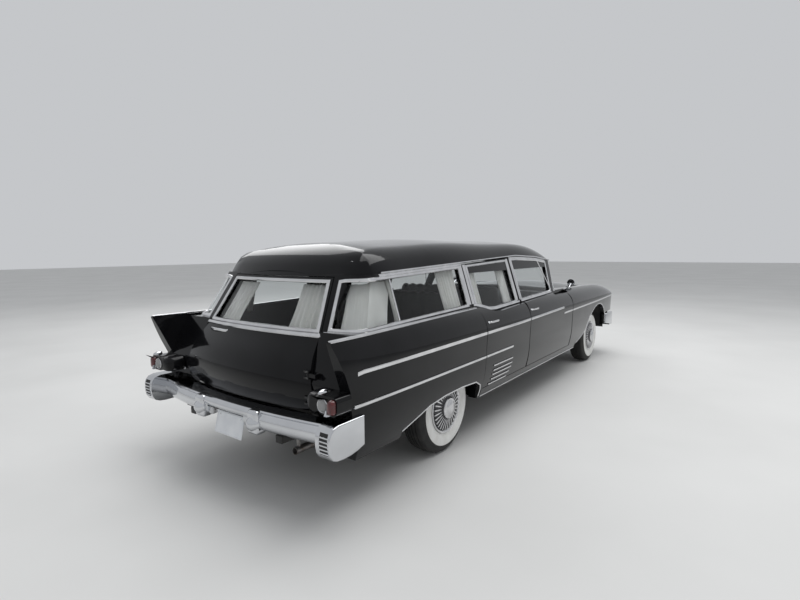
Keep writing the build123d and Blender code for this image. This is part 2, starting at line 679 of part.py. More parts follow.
# Sills and the B posts
sill = side_wall(SIDE_ROWS[3:8], lambda row: (150, 150, 150)) & box(
    (600, 1100), (-1290, 1290), (SILL_Z, DOOR_BOTTOM_Z - SHUT_GAP))
b_post = POST_WALL & box((600, 1000), (B_POST_Y - 45, B_POST_Y + 75), (400.3, 1130))
b_post += box((788, 862), (B_POST_Y - 45, B_POST_Y + 75), (400.3, 430))
b_post += hinge_arms(SIDE_DOOR_AXIS, 850)
upper_post = (upper_block(UPPER_THICK + 8) - upper_block(UPPER_THICK + 40, 1059, 1561))
upper_post = upper_post & box((600, 1000), (B_POST_Y - 30, B_POST_Y + 36), (1116, 1600))
upper_post -= above_gutter(SEAT_GAP)
b_post += upper_post
post_cap = upper_block(2) - upper_block(UPPER_THICK + 10, 1059, 1561)
post_cap = post_cap & box((600, 1000), POST_CAP, (1120, 1600))
b_post += post_cap - above_gutter(SEAT_GAP)
b_post += box((724, 764), (B_POST_Y - 30, B_POST_Y + 36), (1080, 1150))
b_post += box((724, 808), (B_POST_Y - 30, B_POST_Y + 36), (1118, 1150))
posts = sill + b_post
save(Compound([posts.solids()[0], mirror_x(posts).solids()[0]]), "sills_and_posts")

# Floor with its tunnel, the load floor and the rear wheel wells
FLOOR_Z = 400.0
FLOOR_THICK = 15.0
LOAD_Z = 630.0
LOAD_THICK = 24.0
STEP_Y = 1250.0
FLOOR_X = 787.0
LOAD_X = 884.0
FIREWALL_Y = -1160.0
CORNER_Y = 2800.0
WELL_R = 420.0
floor = box((-FLOOR_X, FLOOR_X), (FIREWALL_Y + SEAT_GAP, STEP_Y), (FLOOR_Z - FLOOR_THICK, FLOOR_Z))
floor -= box((-120, 120), (FIREWALL_Y, STEP_Y + 5), (300, FLOOR_Z + 1))
tunnel = box((-120, 120), (FIREWALL_Y + SEAT_GAP, STEP_Y), (FLOOR_Z - FLOOR_THICK, 490))
tunnel -= box((-108, 108), (FIREWALL_Y, STEP_Y + 5), (300, 478))
floor += tunnel
floor += box((-FLOOR_X, FLOOR_X), (STEP_Y - 15, STEP_Y), (FLOOR_Z - FLOOR_THICK, LOAD_Z)) - box(
    (-108, 108), (STEP_Y - 20, STEP_Y + 5), (300, 478))
load = box((-LOAD_X, LOAD_X), (STEP_Y - 15, CORNER_Y - SEAT_GAP), (LOAD_Z - LOAD_THICK, LOAD_Z))
load -= box((FLOOR_X, 950), (STEP_Y - 20, 1340), (600, 640))
load -= box((-950, -FLOOR_X), (STEP_Y - 20, 1340), (600, 640))
load += box((-556, 556), (CORNER_Y - 40, 2850), (485, LOAD_Z - LOAD_THICK + 1))
well = rod((636, REAR_AXLE_Y, HUB_Z), (LOAD_X, REAR_AXLE_Y, HUB_Z), WELL_R + 10)
hole = rod((648, REAR_AXLE_Y, HUB_Z), (LOAD_X + 30, REAR_AXLE_Y, HUB_Z), WELL_R)
above = box((500, 950), (1000, 2400), (LOAD_Z - LOAD_THICK, 900))
load = load + (well & above) + mirror_x(well & above)
load = load - hole - mirror_x(hole)
floor = floor + load
# Pads between the frame and the floors
FRAME_TOP = 362.0
for x, y in ((322, -1132), (120, -600), (120, 300)):
    for sx in (x, -x):
        floor += rod((sx, y, FRAME_TOP), (sx, y, FLOOR_Z - 5), 24)
for x, y, low in ((480, 2200, 480), (480, 2700, 480)):
    for sx in (x, -x):
        floor += rod((sx, y, low + SEAT_GAP), (sx, y, LOAD_Z - 5), 24)
save(floor, "floor_pan")

# X-shaped chassis frame
FRAME_Z = (262.0, 362.0)
RAIL = 35.0


def plan_poly(points, z):
    face = Face(Wire.make_polygon([(p[0], p[1], z[0]) for p in points]))
    return Part() + Solid.extrude(face, Vector(0, 0, z[1] - z[0]))


RAIL_ROUTE = ((400, -2950), (400, -1300), (120, -700), (120, 500), (480, 1150), (480, 1240))
outer = [(x + RAIL, y) for x, y in RAIL_ROUTE]
inner = [(x - RAIL, y) for x, y in RAIL_ROUTE]
rail = plan_poly(outer + inner[::-1], FRAME_Z)
rail += side_prism([(1200, 262), (1260, 262), (1450, 450), (1950, 450), (2130, 400), (2860, 400),
                    (2860, 480), (2150, 480), (1970, 540), (1430, 540), (1230, 362), (1200, 362)],
                   (480 - RAIL, 480 + RAIL))
frame = rail + mirror_x(rail)
frame += box((-400, 400), (-2950, -2880), (270, 350))
frame += box((-120, 120), (-100, 0), (262, 290))
frame += box((-480, 480), (1150, 1220), (262, 320))
frame += box((-480, 480), (2790, 2860), (400, 480))
frame += box((-150, 150), (-1420, -1340), (262, 300)) + box((-400, 400), (-1400, -1330), (262, 320))
LEAF_X = 560.0
for sx in (1, -1):
    x0, x1 = sorted((sx * (480 + RAIL - 10), sx * (LEAF_X + 30)))
    frame += box((x0, x1), (1090, 1150), (357.3, 382)) + box(
        (min(sx * 440, sx * 526), max(sx * 440, sx * 526)), (1100, 1150), (300, 382))
    frame += box((x0, x1), (2290, 2350), (444.3, 478))
# Jacking pads under the rails and a tow plate on the rear cross member
JACK_PAD_Y = -1600.0
for sx in (1, -1):
    frame += box((sx * 400 - 32, sx * 400 + 32), (JACK_PAD_Y - 40, JACK_PAD_Y + 40), (248, 264))
frame += box((-60, 60), (2855, 2874), (404, 476))
save(frame, "chassis_frame")

# Engine as one plain block, exhaust and fuel tank
engine = box((-260, 260), (-2450, -1480), (330.3, 900)) + box((-130, 130), (-1480, -1200), (330.3, 560))
save(engine, "engine_block")
EXHAUST_X, EXHAUST_Z = -300.0, 230.0
exhaust = rod((EXHAUST_X, -1450, EXHAUST_Z), (EXHAUST_X, 2780, EXHAUST_Z), 27)
exhaust += rod((EXHAUST_X, -520, EXHAUST_Z), (EXHAUST_X, 120, EXHAUST_Z), 78)
exhaust += box((EXHAUST_X - 12, EXHAUST_X + 12), (1170, 1200), (240, 262))
exhaust += box((EXHAUST_X - 12, EXHAUST_X + 12), (2740, 2752), (240, LOAD_Z - LOAD_THICK))
exhaust += rod((EXHAUST_X, -1450, EXHAUST_Z), (-240, -1560, 350), 27)
exhaust -= engine
exhaust -= rod((EXHAUST_X, 2500, EXHAUST_Z), (EXHAUST_X, 2800, EXHAUST_Z), 24)
save(exhaust, "exhaust_system")
tank = box((-260, 340), (2160, 2680), (340, LOAD_Z - LOAD_THICK))
save(tank, "fuel_tank")

# Front suspension
PIVOT_X = 655.0
ARM_LOW = (236.0, 262.0)
ARM_HIGH = (466.0, 488.0)
suspension = box((-440, 440), (FRONT_AXLE_Y - 60, FRONT_AXLE_Y + 60), (200, 262))
suspension += box((-364, 364), (FRONT_AXLE_Y - 60, FRONT_AXLE_Y + 60), (255, 330))
for sx in (1, -1):
    tower = box((min(sx * 330, sx * 364), max(sx * 330, sx * 364)),
                (FRONT_AXLE_Y - 60, FRONT_AXLE_Y + 60), (300, 488))
    tower += box((min(sx * 330, sx * 450), max(sx * 330, sx * 450)),
                 (FRONT_AXLE_Y - 90, FRONT_AXLE_Y + 90), (ARM_HIGH[0] - 20, ARM_HIGH[1]))
    suspension += tower
    low = plan_poly([(sx * 420, FRONT_AXLE_Y - 110), (sx * 420, FRONT_AXLE_Y + 110),
                     (sx * (PIVOT_X + 18), FRONT_AXLE_Y + 30), (sx * (PIVOT_X + 18), FRONT_AXLE_Y - 30)],
                    ARM_LOW)
    high = plan_poly([(sx * 420, FRONT_AXLE_Y - 90), (sx * 420, FRONT_AXLE_Y + 90),
                      (sx * (PIVOT_X + 18), FRONT_AXLE_Y + 26), (sx * (PIVOT_X + 18), FRONT_AXLE_Y - 26)],
                     ARM_HIGH)
    suspension += low + high
save(suspension, "front_suspension")

# Knuckles, wheels and tyres
SPINDLE_R = 22.0
SPINDLE_END = 785.0
WHEEL_X = TRACK / 2
knuckle = rod((PIVOT_X, FRONT_AXLE_Y, ARM_LOW[1] + SEAT_GAP),
              (PIVOT_X, FRONT_AXLE_Y, ARM_HIGH[0] - SEAT_GAP), 26)
knuckle += rod((PIVOT_X, FRONT_AXLE_Y, HUB_Z), (SPINDLE_END, FRONT_AXLE_Y, HUB_Z), SPINDLE_R)
knuckle += rod((PIVOT_X + 20, FRONT_AXLE_Y, HUB_Z), (694, FRONT_AXLE_Y, HUB_Z), 40)
knuckle += rod((688, FRONT_AXLE_Y, HUB_Z), (694, FRONT_AXLE_Y, HUB_Z), 145)
knuckle += box((PIVOT_X - 30, PIVOT_X + 15), (FRONT_AXLE_Y, FRONT_AXLE_Y + 130), (290, 312))
save(knuckle, "knuckle_left")
save(mirror_x(knuckle), "knuckle_right")

TYRE_R = HUB_Z
RIM_R = 190.5


def spin(edges, x, y):
    """Edges in X and radius, turned about the wheel's axis at (x, y)."""
    face = Face(Wire([edge.moved(Location((x, y, HUB_Z))) for edge in edges]))
    return Part() + Solid.revolve(face, 360, Axis((x, y, HUB_Z), (1, 0, 0)))


def line(p, q):
    return Edge.make_line((p[0], 0, p[1]), (q[0], 0, q[1]))


def arc(p, m, q):
    return Edge.make_three_point_arc((p[0], 0, p[1]), (m[0], 0, m[1]), (q[0], 0, q[1]))


def tyre(x, y):
    return spin([
        line((-80, RIM_R + SEAT_GAP), (-94, 222)),
        arc((-94, 222), (-103, 285), (-84, 342)),
        arc((-84, 342), (-78, 352), (-66, 357)),
        arc((-66, 357), (0, TYRE_R), (66, 357)),
        arc((66, 357), (78, 352), (84, 342)),
        arc((84, 342), (103, 285), (94, 222)),
        line((94, 222), (80, RIM_R + SEAT_GAP)),
        line((80, RIM_R + SEAT_GAP), (-80, RIM_R + SEAT_GAP)),
    ], x, y)


def wheel(x, y):
    """The left wheel: rim, drum, disc, hub with its bore, and the domed cover."""
    body = spin([
        line((-80, RIM_R), (80, RIM_R)),
        line((80, RIM_R), (80, RIM_R - 14)),
        line((80, RIM_R - 14), (40, RIM_R - 26)),
        line((40, RIM_R - 26), (30, 60)),
        line((30, 60), (30, 0)),
        line((30, 0), (12, 0)),
        line((12, 0), (12, SPINDLE_R + SEAT_GAP)),
        line((12, SPINDLE_R + SEAT_GAP), (-78, SPINDLE_R + SEAT_GAP)),
        line((-78, SPINDLE_R + SEAT_GAP), (-78, 150)),
        line((-78, 150), (0, 150)),
        line((0, 150), (0, RIM_R - 30)),
        line((0, RIM_R - 30), (-80, RIM_R - 16)),
        line((-80, RIM_R - 16), (-80, RIM_R)),
    ], x, y)
    cover = spin([
        line((74, 182), (88, 196)),
        line((88, 196), (91, 203)),
        arc((91, 203), (96, 200), (97, 190)),
        arc((97, 190), (86, 150), (78, 110)),
        arc((78, 110), (94, 60), (102, 12)),
        line((102, 12), (102, 0)),
        line((102, 0), (94, 0)),
        line((94, 0), (94, 12)),
        arc((94, 12), (86, 60), (70, 110)),
        arc((70, 110), (70, 146), (74, 182)),
    ], x, y)
    return body + cover


for end, y in (("front", FRONT_AXLE_Y), ("rear", REAR_AXLE_Y)):
    round_wheel = wheel(WHEEL_X, y)
    round_tyre = tyre(WHEEL_X, y)
    print(end, "wheel", len(round_wheel.solids()), "tyre", len(round_tyre.solids()))
    save(round_wheel, "wheel_" + end + "_left")
    save(mirror_x(round_wheel), "wheel_" + end + "_right")
    save(round_tyre, "tyre_" + end + "_left")
    save(mirror_x(round_tyre), "tyre_" + end + "_right")

# Rear axle with its leaf springs and the propeller shaft
axle = rod((-SPINDLE_END, REAR_AXLE_Y, HUB_Z), (SPINDLE_END, REAR_AXLE_Y, HUB_Z), SPINDLE_R)
axle += rod((-694, REAR_AXLE_Y, HUB_Z), (694, REAR_AXLE_Y, HUB_Z), 40)
axle += rod((0, REAR_AXLE_Y - 130, HUB_Z), (0, REAR_AXLE_Y + 110, HUB_Z), 120)
axle += rod((0, REAR_AXLE_Y - 200, HUB_Z), (0, REAR_AXLE_Y, HUB_Z), 60)
axle += rod((0, REAR_AXLE_Y - 150, HUB_Z), (0, -1199, 430), 36)
leaf_face = Face(Wire([
    Edge.make_three_point_arc((0, 1119, 335), (0, REAR_AXLE_Y, 294), (0, 2319, 422)),
    Edge.make_line((0, 2319, 422), (0, 2319, 392)),
    Edge.make_three_point_arc((0, 2319, 392), (0, REAR_AXLE_Y, 264), (0, 1119, 305)),
    Edge.make_line((0, 1119, 305), (0, 1119, 335)),
]))
for sx in (1, -1):
    leaf = Part() + Solid.extrude(leaf_face.moved(Location((sx * LEAF_X - 30, 0, 0))), Vector(60, 0, 0))
    leaf += rod((sx * LEAF_X - 30, 1119, 335), (sx * LEAF_X + 30, 1119, 335), 22)
    leaf += rod((sx * LEAF_X - 30, 2319, 422), (sx * LEAF_X + 30, 2319, 422), 22)
    leaf += box((sx * LEAF_X - 36, sx * LEAF_X + 36), (REAR_AXLE_Y - 50, REAR_AXLE_Y + 50), (280, 350))
    axle += leaf
    x0, x1 = sorted((sx * 688, sx * 694))
    axle += rod((x0, REAR_AXLE_Y, HUB_Z), (x1, REAR_AXLE_Y, HUB_Z), 145)
axle -= engine
save(axle, "rear_axle")

# Rear bumper: bar, valance, centre bullets, end pods and brackets
REAR_END = 3155.0
bar = plan_prism([
    Edge.make_three_point_arc((900, 3040, 0), (0, 3118, 0), (-900, 3040, 0)),
    Edge.make_line((-900, 3040, 0), (-900, 2990, 0)),
    Edge.make_three_point_arc((-900, 2990, 0), (0, 3066, 0), (900, 2990, 0)),
    Edge.make_line((900, 2990, 0), (900, 3040, 0)),
], (478, 600))
valance = plan_prism([
    Edge.make_three_point_arc((890, 3020, 0), (0, 3096, 0), (-890, 3020, 0)),
    Edge.make_line((-890, 3020, 0), (-890, 2952, 0)),
    Edge.make_line((-890, 2952, 0), (890, 2952, 0)),
    Edge.make_line((890, 2952, 0), (890, 3020, 0)),
], (592, 612))
rear_bumper = bar + valance
POD_SIDE = [(2858, 470), (3060, 446), (3130, 468), (REAR_END, 540), (REAR_END - 6, 600),
            (3090, 648), (3040, 652), (2858, 652)]
BULLET_X, BULLET_Z = 297.0, 523.0
for sx in (1, -1):
    pod = side_prism(POD_SIDE, (min(sx * 884, sx * 1012), max(sx * 884, sx * 1012)))
    x0, x1 = sorted((sx * 920, sx * 984))
    pod -= box((x0, x1), (3118, 3200), (486, 598))
    for k in range(5):
        pod += box((x0, x1), (3110, 3136), (490 + 22 * k, 499 + 22 * k))
    bullet = Part() + Solid.revolve(Face(Wire([
        Edge.make_line((0, 3040, 0), (62, 3040, 0)),
        Edge.make_three_point_arc((62, 3040, 0), (50, 3118, 0), (8, 3152, 0)),
        Edge.make_line((8, 3152, 0), (0, 3152, 0)),
        Edge.make_line((0, 3152, 0), (0, 3040, 0)),
    ])), 360, Axis((0, 0, 0), (0, 1, 0)))
    rear_bumper += pod + Pos(sx * BULLET_X, 0, BULLET_Z) * bullet
    x0, x1 = sorted((sx * 450, sx * 510))
    rear_bumper += box((x0, x1), (2860.3, 3060), (420, 470)) + box((x0, x1), (3000, 3060), (440, 520))
print("rear_bumper", len(rear_bumper.solids()))
save(rear_bumper, "rear_bumper")

# Tail lamps: one housing each side with twin lenses
lamp_list = []
for sx in (1, -1):
    x0, x1 = sorted((sx * 744, sx * 1004))
    housing = box((x0, x1), (2958.3, 3086), (690, 802))
    housing = fillet(housing.edges().filter_by(Axis.Y), 44)
    for x in (808, 936):
        housing += rod((sx * x, 3080, 746), (sx * x, 3106, 746), 45)
    lamp_list.append(housing.solids()[0])
save(Compound(lamp_list), "tail_lamps")

# Front bumper and grille
front_bar = plan_prism([
    Edge.make_three_point_arc((960, -3040, 0), (0, -3112, 0), (-960, -3040, 0)),
    Edge.make_line((-960, -3040, 0), (-960, -2990, 0)),
    Edge.make_three_point_arc((-960, -2990, 0), (0, -3060, 0), (960, -2990, 0)),
    Edge.make_line((960, -2990, 0), (960, -3040, 0)),
], (430, 566))
front_bumper = front_bar
for sx in (1, -1):
    x0, x1 = sorted((sx * 930, sx * 984))
    front_bumper += box((x0, x1), (-3050, -2706), (440, 652))
    bullet = Part() + Solid.revolve(Face(Wire([
        Edge.make_line((0, -3045, 0), (86, -3045, 0)),
        Edge.make_three_point_arc((86, -3045, 0), (66, -3118, 0), (10, -REAR_END, 0)),
        Edge.make_line((10, -REAR_END, 0), (0, -REAR_END, 0)),
        Edge.make_line((0, -REAR_END, 0), (0, -3045, 0)),
    ])), 360, Axis((0, 0, 0), (0, 1, 0)))
    front_bumper += Pos(sx * 440, 0, 560) * bullet
    x0, x1 = sorted((sx * 370, sx * 430))
    front_bumper += box((x0, x1), (-3060, -2950.3), (300, 360)) + box((x0, x1), (-3080, -3010), (300, 440))
print("front_bumper", len(front_bumper.solids()))
save(front_bumper, "front_bumper")
grille = box((-603.7, 603.7), (-3044, -3000), (572, 916)) - box((-584, 584), (-3050, -2990), (592, 896))
for k in range(9):
    x = -500 + 125 * k
    grille += box((x - 5, x + 5), (-3036, -3010), (580, 910))
for k in range(5):
    z = 640 + 52 * k
    grille += box((-590, 590), (-3040, -3014), (z - 6, z + 6))
save(grille, "grille")

# Fender mirrors
mirror_list = []
for sx in (1, -1):
    stand = rod((sx * 850, -1290, 1090), (sx * 850, -1400, 1160), 9)
    stand += rod((sx * 850, -1290, 1080), (sx * 850, -1290, 1122), 22)
    stand += rod((sx * 850, -1420, 1168), (sx * 850, -1392, 1168), 48)
    stand -= fender if sx > 0 else mirror_x(fender)
    mirror_list.append(max(stand.solids(), key=lambda solid: solid.volume))
save(Compound(mirror_list), "fender_mirrors")

# Seats and the dashboard with its steering wheel
SEAT_SIDE = [(-320, FLOOR_Z + SEAT_GAP), (-320, 640), (-300, 735), (110, 715), (215, 1230), (330, 1220),
             (250, 640), (240, FLOOR_Z + SEAT_GAP)]
seats = []
for shift in (0, 880):
    points = [(y + shift, z) for y, z in SEAT_SIDE]
    seat = side_prism(points, (-640, 640)) - box((-125, 125), (-1200, 1300), (380, 495))
    seats.append(seat.solids()[0])
save(Compound(seats), "seats")
dash = side_prism([(FIREWALL_Y + SEAT_GAP, 880), (FIREWALL_Y + SEAT_GAP, 1037.7), (-1104, 1037.7),
                   (-1104, 1085.7), (-790, 1085.7), (-770, 1060), (-800, 960), (-860, 880)], (-690, 690))
column_end = (370, -540, 1040)
dash += rod((370, -860, 930), column_end, 24)
wheel_plane = Plane(origin=column_end, z_dir=(0, 0.93, 0.36))
dash += Part() + Solid.make_torus(205, 12, wheel_plane)
dash += Part() + Solid.make_cylinder(50, 30, Plane(origin=(370, -545, 1038), z_dir=(0, 0.93, 0.36)))
dash += rod((160, -540, 1040), (580, -540, 1040), 9)
print("dash", len(dash.solids()))
save(dash, "dashboard")
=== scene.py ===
import json
import math
import random
import bmesh
import bpy
from mathutils import Matrix, Vector
from mathutils.bvhtree import BVHTree


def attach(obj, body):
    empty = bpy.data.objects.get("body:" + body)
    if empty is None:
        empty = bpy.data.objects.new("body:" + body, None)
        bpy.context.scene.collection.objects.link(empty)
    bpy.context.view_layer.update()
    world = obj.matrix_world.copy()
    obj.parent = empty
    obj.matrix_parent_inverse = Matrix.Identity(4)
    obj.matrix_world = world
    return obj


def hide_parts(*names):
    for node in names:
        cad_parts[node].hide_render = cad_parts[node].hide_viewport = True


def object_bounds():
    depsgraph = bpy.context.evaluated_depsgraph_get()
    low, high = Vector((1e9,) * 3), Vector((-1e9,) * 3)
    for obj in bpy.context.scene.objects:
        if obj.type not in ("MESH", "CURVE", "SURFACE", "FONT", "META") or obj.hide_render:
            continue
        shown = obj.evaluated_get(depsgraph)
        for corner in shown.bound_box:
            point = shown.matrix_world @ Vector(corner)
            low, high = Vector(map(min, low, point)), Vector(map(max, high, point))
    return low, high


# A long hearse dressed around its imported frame. Metres; front faces -Y, the car's left is +X.

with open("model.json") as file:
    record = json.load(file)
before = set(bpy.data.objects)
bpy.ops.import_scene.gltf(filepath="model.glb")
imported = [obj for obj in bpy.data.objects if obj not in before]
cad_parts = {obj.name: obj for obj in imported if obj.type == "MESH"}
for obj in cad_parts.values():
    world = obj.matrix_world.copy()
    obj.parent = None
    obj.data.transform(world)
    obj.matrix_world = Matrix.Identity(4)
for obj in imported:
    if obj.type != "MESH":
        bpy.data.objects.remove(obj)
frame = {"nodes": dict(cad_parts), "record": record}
cad_box = [list(corner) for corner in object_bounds()]
NODES = frame["nodes"]
BODY_OF = {node: body for body, nodes in frame["record"]["behaviour"]["bodies"].items() for node in nodes}

# Places shared with the frame
HUB_Z = 0.364
WHEEL_X = 0.7745
REAR_AXLE_Y = 1.719
FRONT_AXLE_Y = -2.243
FRONT_DOOR_Y = -1.000
B_POST_Y = 0.342
C_POST_Y = 1.294
NOSE_Y = -3.080
TAIL_Y = 3.087
SHUT_GAP = 0.006
SIDES = (("right", -1), ("left", 1))


# Materials

def new_material(name, colour, rough, metal=0.0, coat=0.0, **sockets):
    mat = bpy.data.materials.new(name)
    mat.use_nodes = True
    shader = mat.node_tree.nodes["Principled BSDF"]
    shader.inputs["Base Color"].default_value = (*colour, 1)
    shader.inputs["Roughness"].default_value = rough
    shader.inputs["Metallic"].default_value = metal
    shader.inputs["Coat Weight"].default_value = coat
    for socket, value in sockets.items():
        shader.inputs[socket.replace("_", " ")].default_value = value
    return mat


def add_node(mat, kind, **values):
    node = mat.node_tree.nodes.new(kind)
    for key, value in values.items():
        if hasattr(node, key):
            setattr(node, key, value)
        else:
            node.inputs[key.replace("_", " ")].default_value = value
    return node


def wire(mat, source, socket_out, target, socket_in):
    mat.node_tree.links.new(source.outputs[socket_out], target.inputs[socket_in])


def object_noise(mat, scale, detail=3.0, stretch=(1, 1, 1)):
    place = add_node(mat, "ShaderNodeTexCoord")
    mapping = add_node(mat, "ShaderNodeMapping")
    mapping.inputs["Scale"].default_value = stretch
    noise = add_node(mat, "ShaderNodeTexNoise", Scale=scale, Detail=detail)
    wire(mat, place, "Object", mapping, "Vector")
    wire(mat, mapping, "Vector", noise, "Vector")
    return noise


def vary_colour(mat, dark, light, scale, detail=3.0, stretch=(1, 1, 1)):
    noise = object_noise(mat, scale, detail, stretch)
    ramp = add_node(mat, "ShaderNodeValToRGB")
    ramp.color_ramp.elements[0].position = 0.35
    ramp.color_ramp.elements[0].color = (*dark, 1)
    ramp.color_ramp.elements[1].position = 0.65
    ramp.color_ramp.elements[1].color = (*light, 1)
    wire(mat, noise, "Fac", ramp, "Fac")
    wire(mat, ramp, "Color", mat.node_tree.nodes["Principled BSDF"], "Base Color")
    return ramp


def vary_rough(mat, low, high, scale, detail=3.0):
    noise = object_noise(mat, scale, detail)
    spread = add_node(mat, "ShaderNodeMapRange")
    spread.inputs["To Min"].default_value = low
    spread.inputs["To Max"].default_value = high
    wire(mat, noise, "Fac", spread, "Value")
    wire(mat, spread, "Result", mat.node_tree.nodes["Principled BSDF"], "Roughness")


def add_bump(mat, source, socket, distance, strength=1.0):
    bump = add_node(mat, "ShaderNodeBump", Strength=strength, Distance=distance)
    wire(mat, source, socket, bump, "Height")
    wire(mat, bump, "Normal", mat.node_tree.nodes["Principled BSDF"], "Normal")


def noise_bump(mat, scale, distance, strength=1.0, detail=3.0, stretch=(1, 1, 1)):
    add_bump(mat, object_noise(mat, scale, detail, stretch), "Fac", distance, strength)


MATS = {}


def finish(key, name, colour, rough, tones=None, rough_range=None, grain=None, **sockets):
    """Makes a material: two tones and their scale, a roughness range and its scale, a grain and its depth."""
    mat = new_material(name, colour, rough, **sockets)
    if tones:
        vary_colour(mat, *tones)
    if rough_range:
        vary_rough(mat, *rough_range)
    if grain:
        noise_bump(mat, *grain)
    MATS[key] = mat
    return mat


def paint_materials():
    finish("body_black", "gloss_black_paint", (0.004, 0.004, 0.005), 0.3,
           ((0.003, 0.003, 0.0035), (0.006, 0.006, 0.007), 3.0, 5.0), (0.12, 0.2, 9.0),
           coat=0.9, Coat_Roughness=0.03, Coat_IOR=1.27, Specular_IOR_Level=0.05)
    finish("chassis_black", "frame_black", (0.012, 0.012, 0.012), 0.5,
           ((0.008, 0.008, 0.008), (0.02, 0.018, 0.016), 11.0), (0.4, 0.65, 20.0), (180.0, 0.0006))
    finish("underbody", "underseal", (0.02, 0.02, 0.02), 0.8,
           ((0.012, 0.012, 0.012), (0.03, 0.028, 0.026), 6.0), None, (90.0, 0.0015))
    finish("engine_iron", "cast_iron", (0.08, 0.08, 0.085), 0.6,
           ((0.05, 0.05, 0.055), (0.11, 0.1, 0.1), 25.0), None, (220.0, 0.0008), metal=0.6)
    finish("exhaust_steel", "dull_steel", (0.3, 0.29, 0.28), 0.45,
           ((0.2, 0.17, 0.15), (0.36, 0.35, 0.34), 14.0), (0.35, 0.6, 30.0), metal=0.9)


def bright_materials():
    finish("chrome", "bumper_chrome", (0.62, 0.63, 0.65), 0.09,
           ((0.58, 0.59, 0.61), (0.66, 0.67, 0.69), 4.0), (0.06, 0.13, 12.0), metal=1.0)
    finish("trim", "trim_chrome", (0.7, 0.7, 0.71), 0.14,
           ((0.64, 0.64, 0.65), (0.75, 0.75, 0.76), 8.0), (0.1, 0.2, 24.0), metal=1.0)
    finish("wheel_chrome", "wheel_cover_chrome", (0.62, 0.62, 0.63), 0.16,
           ((0.55, 0.55, 0.56), (0.68, 0.68, 0.69), 20.0), (0.1, 0.24, 40.0), metal=1.0)
    finish("window_glass", "window_tint", (0.93, 0.95, 0.95), 0.02, None, (0.0, 0.03, 5.0),
           Transmission_Weight=1.0, IOR=1.2)
    finish("lamp_glass", "lamp_lens", (0.92, 0.93, 0.93), 0.08, None, (0.05, 0.12, 20.0),
           Transmission_Weight=0.7, IOR=1.45)
    finish("red_lens", "red_lens", (0.1, 0.004, 0.006), 0.12,
           ((0.07, 0.002, 0.004), (0.13, 0.005, 0.007), 30.0), (0.08, 0.18, 60.0),
           coat=0.6, Transmission_Weight=0.2)


def trim_materials():
    finish("tyre", "tyre_rubber", (0.018, 0.018, 0.018), 0.75,
           ((0.013, 0.013, 0.013), (0.026, 0.025, 0.024), 14.0), (0.62, 0.85, 50.0), (300.0, 0.0004))
    finish("whitewall", "whitewall_rubber", (0.72, 0.72, 0.7), 0.6,
           ((0.66, 0.655, 0.63), (0.76, 0.76, 0.74), 9.0), (0.5, 0.7, 40.0), (260.0, 0.0003))
    leather = finish("seat_leather", "black_leather", (0.018, 0.017, 0.017), 0.42,
                     ((0.013, 0.012, 0.012), (0.025, 0.023, 0.023), 6.0))
    hide = add_node(leather, "ShaderNodeTexVoronoi", Scale=230.0)
    wire(leather, add_node(leather, "ShaderNodeTexCoord"), "Object", hide, "Vector")
    add_bump(leather, hide, "Distance", 0.0008, 0.7)
    finish("dash_black", "dash_enamel", (0.02, 0.02, 0.021), 0.38,
           ((0.014, 0.014, 0.015), (0.026, 0.026, 0.027), 8.0), None, (350.0, 0.0003), coat=0.3)
    finish("curtain", "pale_curtain_cloth", (0.72, 0.7, 0.65), 0.85,
           ((0.7, 0.69, 0.66), (0.8, 0.79, 0.77), 7.0, 4.0, (1, 1, 0.2)), None,
           (420.0, 0.0005, 0.8, 2.0, (1, 1, 0.35)), Sheen_Weight=0.25)
    finish("plate", "plate_enamel", (0.78, 0.8, 0.82), 0.35,
           ((0.74, 0.76, 0.79), (0.81, 0.83, 0.85), 12.0), (0.28, 0.42, 30.0))
    finish("cover_dark", "cover_dish_paint", (0.05, 0.05, 0.055), 0.35,
           ((0.03, 0.03, 0.033), (0.08, 0.08, 0.085), 26.0), (0.28, 0.45, 40.0), metal=0.6)
    finish("rubber", "window_rubber", (0.012, 0.012, 0.012), 0.6,
           ((0.009, 0.009, 0.009), (0.016, 0.016, 0.016), 20.0), (0.5, 0.7, 60.0))


# Modelling helpers

def deselect():
    if bpy.context.mode != "OBJECT":
        bpy.ops.object.mode_set(mode="OBJECT")
    bpy.ops.object.select_all(action="DESELECT")


def take(piece):
    deselect()
    piece.select_set(True)
    bpy.context.view_layer.objects.active = piece


def start_edit(piece, kind="VERT", chosen=False):
    take(piece)
    bpy.ops.object.mode_set(mode="EDIT")
    bpy.ops.mesh.select_mode(type=kind)
    bpy.ops.mesh.select_all(action="SELECT" if chosen else "DESELECT")


def end_edit():
    bpy.ops.object.mode_set(mode="OBJECT")


def choose(kind, test):
    """Selects the vertices, edges or faces of the mesh in edit mode whose middle passes test."""
    obj = bpy.context.edit_object
    mesh = bmesh.from_edit_mesh(obj.data)
    place = obj.matrix_world
    bpy.ops.mesh.select_mode(type=kind)
    bpy.ops.mesh.select_all(action="DESELECT")
    if kind == "VERT":
        for v in mesh.verts:
            v.select = bool(test(place @ v.co))
    elif kind == "EDGE":
        for e in mesh.edges:
            e.select = bool(test(place @ ((e.verts[0].co + e.verts[1].co) / 2)))
    else:
        for f in mesh.faces:
            f.select = bool(test(place @ f.calc_center_median(), f.normal))
    mesh.select_flush_mode()
    bmesh.update_edit_mesh(obj.data)


def settle(piece, name):
    """Puts the piece's place into its mesh and names it."""
    take(piece)
    bpy.ops.object.transform_apply(location=True, rotation=True, scale=True)
    piece.name = name
    piece.data.name = name
    return piece


def modify(piece, kind, **values):
    take(piece)
    change = piece.modifiers.new(kind.lower(), kind)
    for key, value in values.items():
        setattr(change, key, value)
    bpy.ops.object.modifier_apply(modifier=change.name)


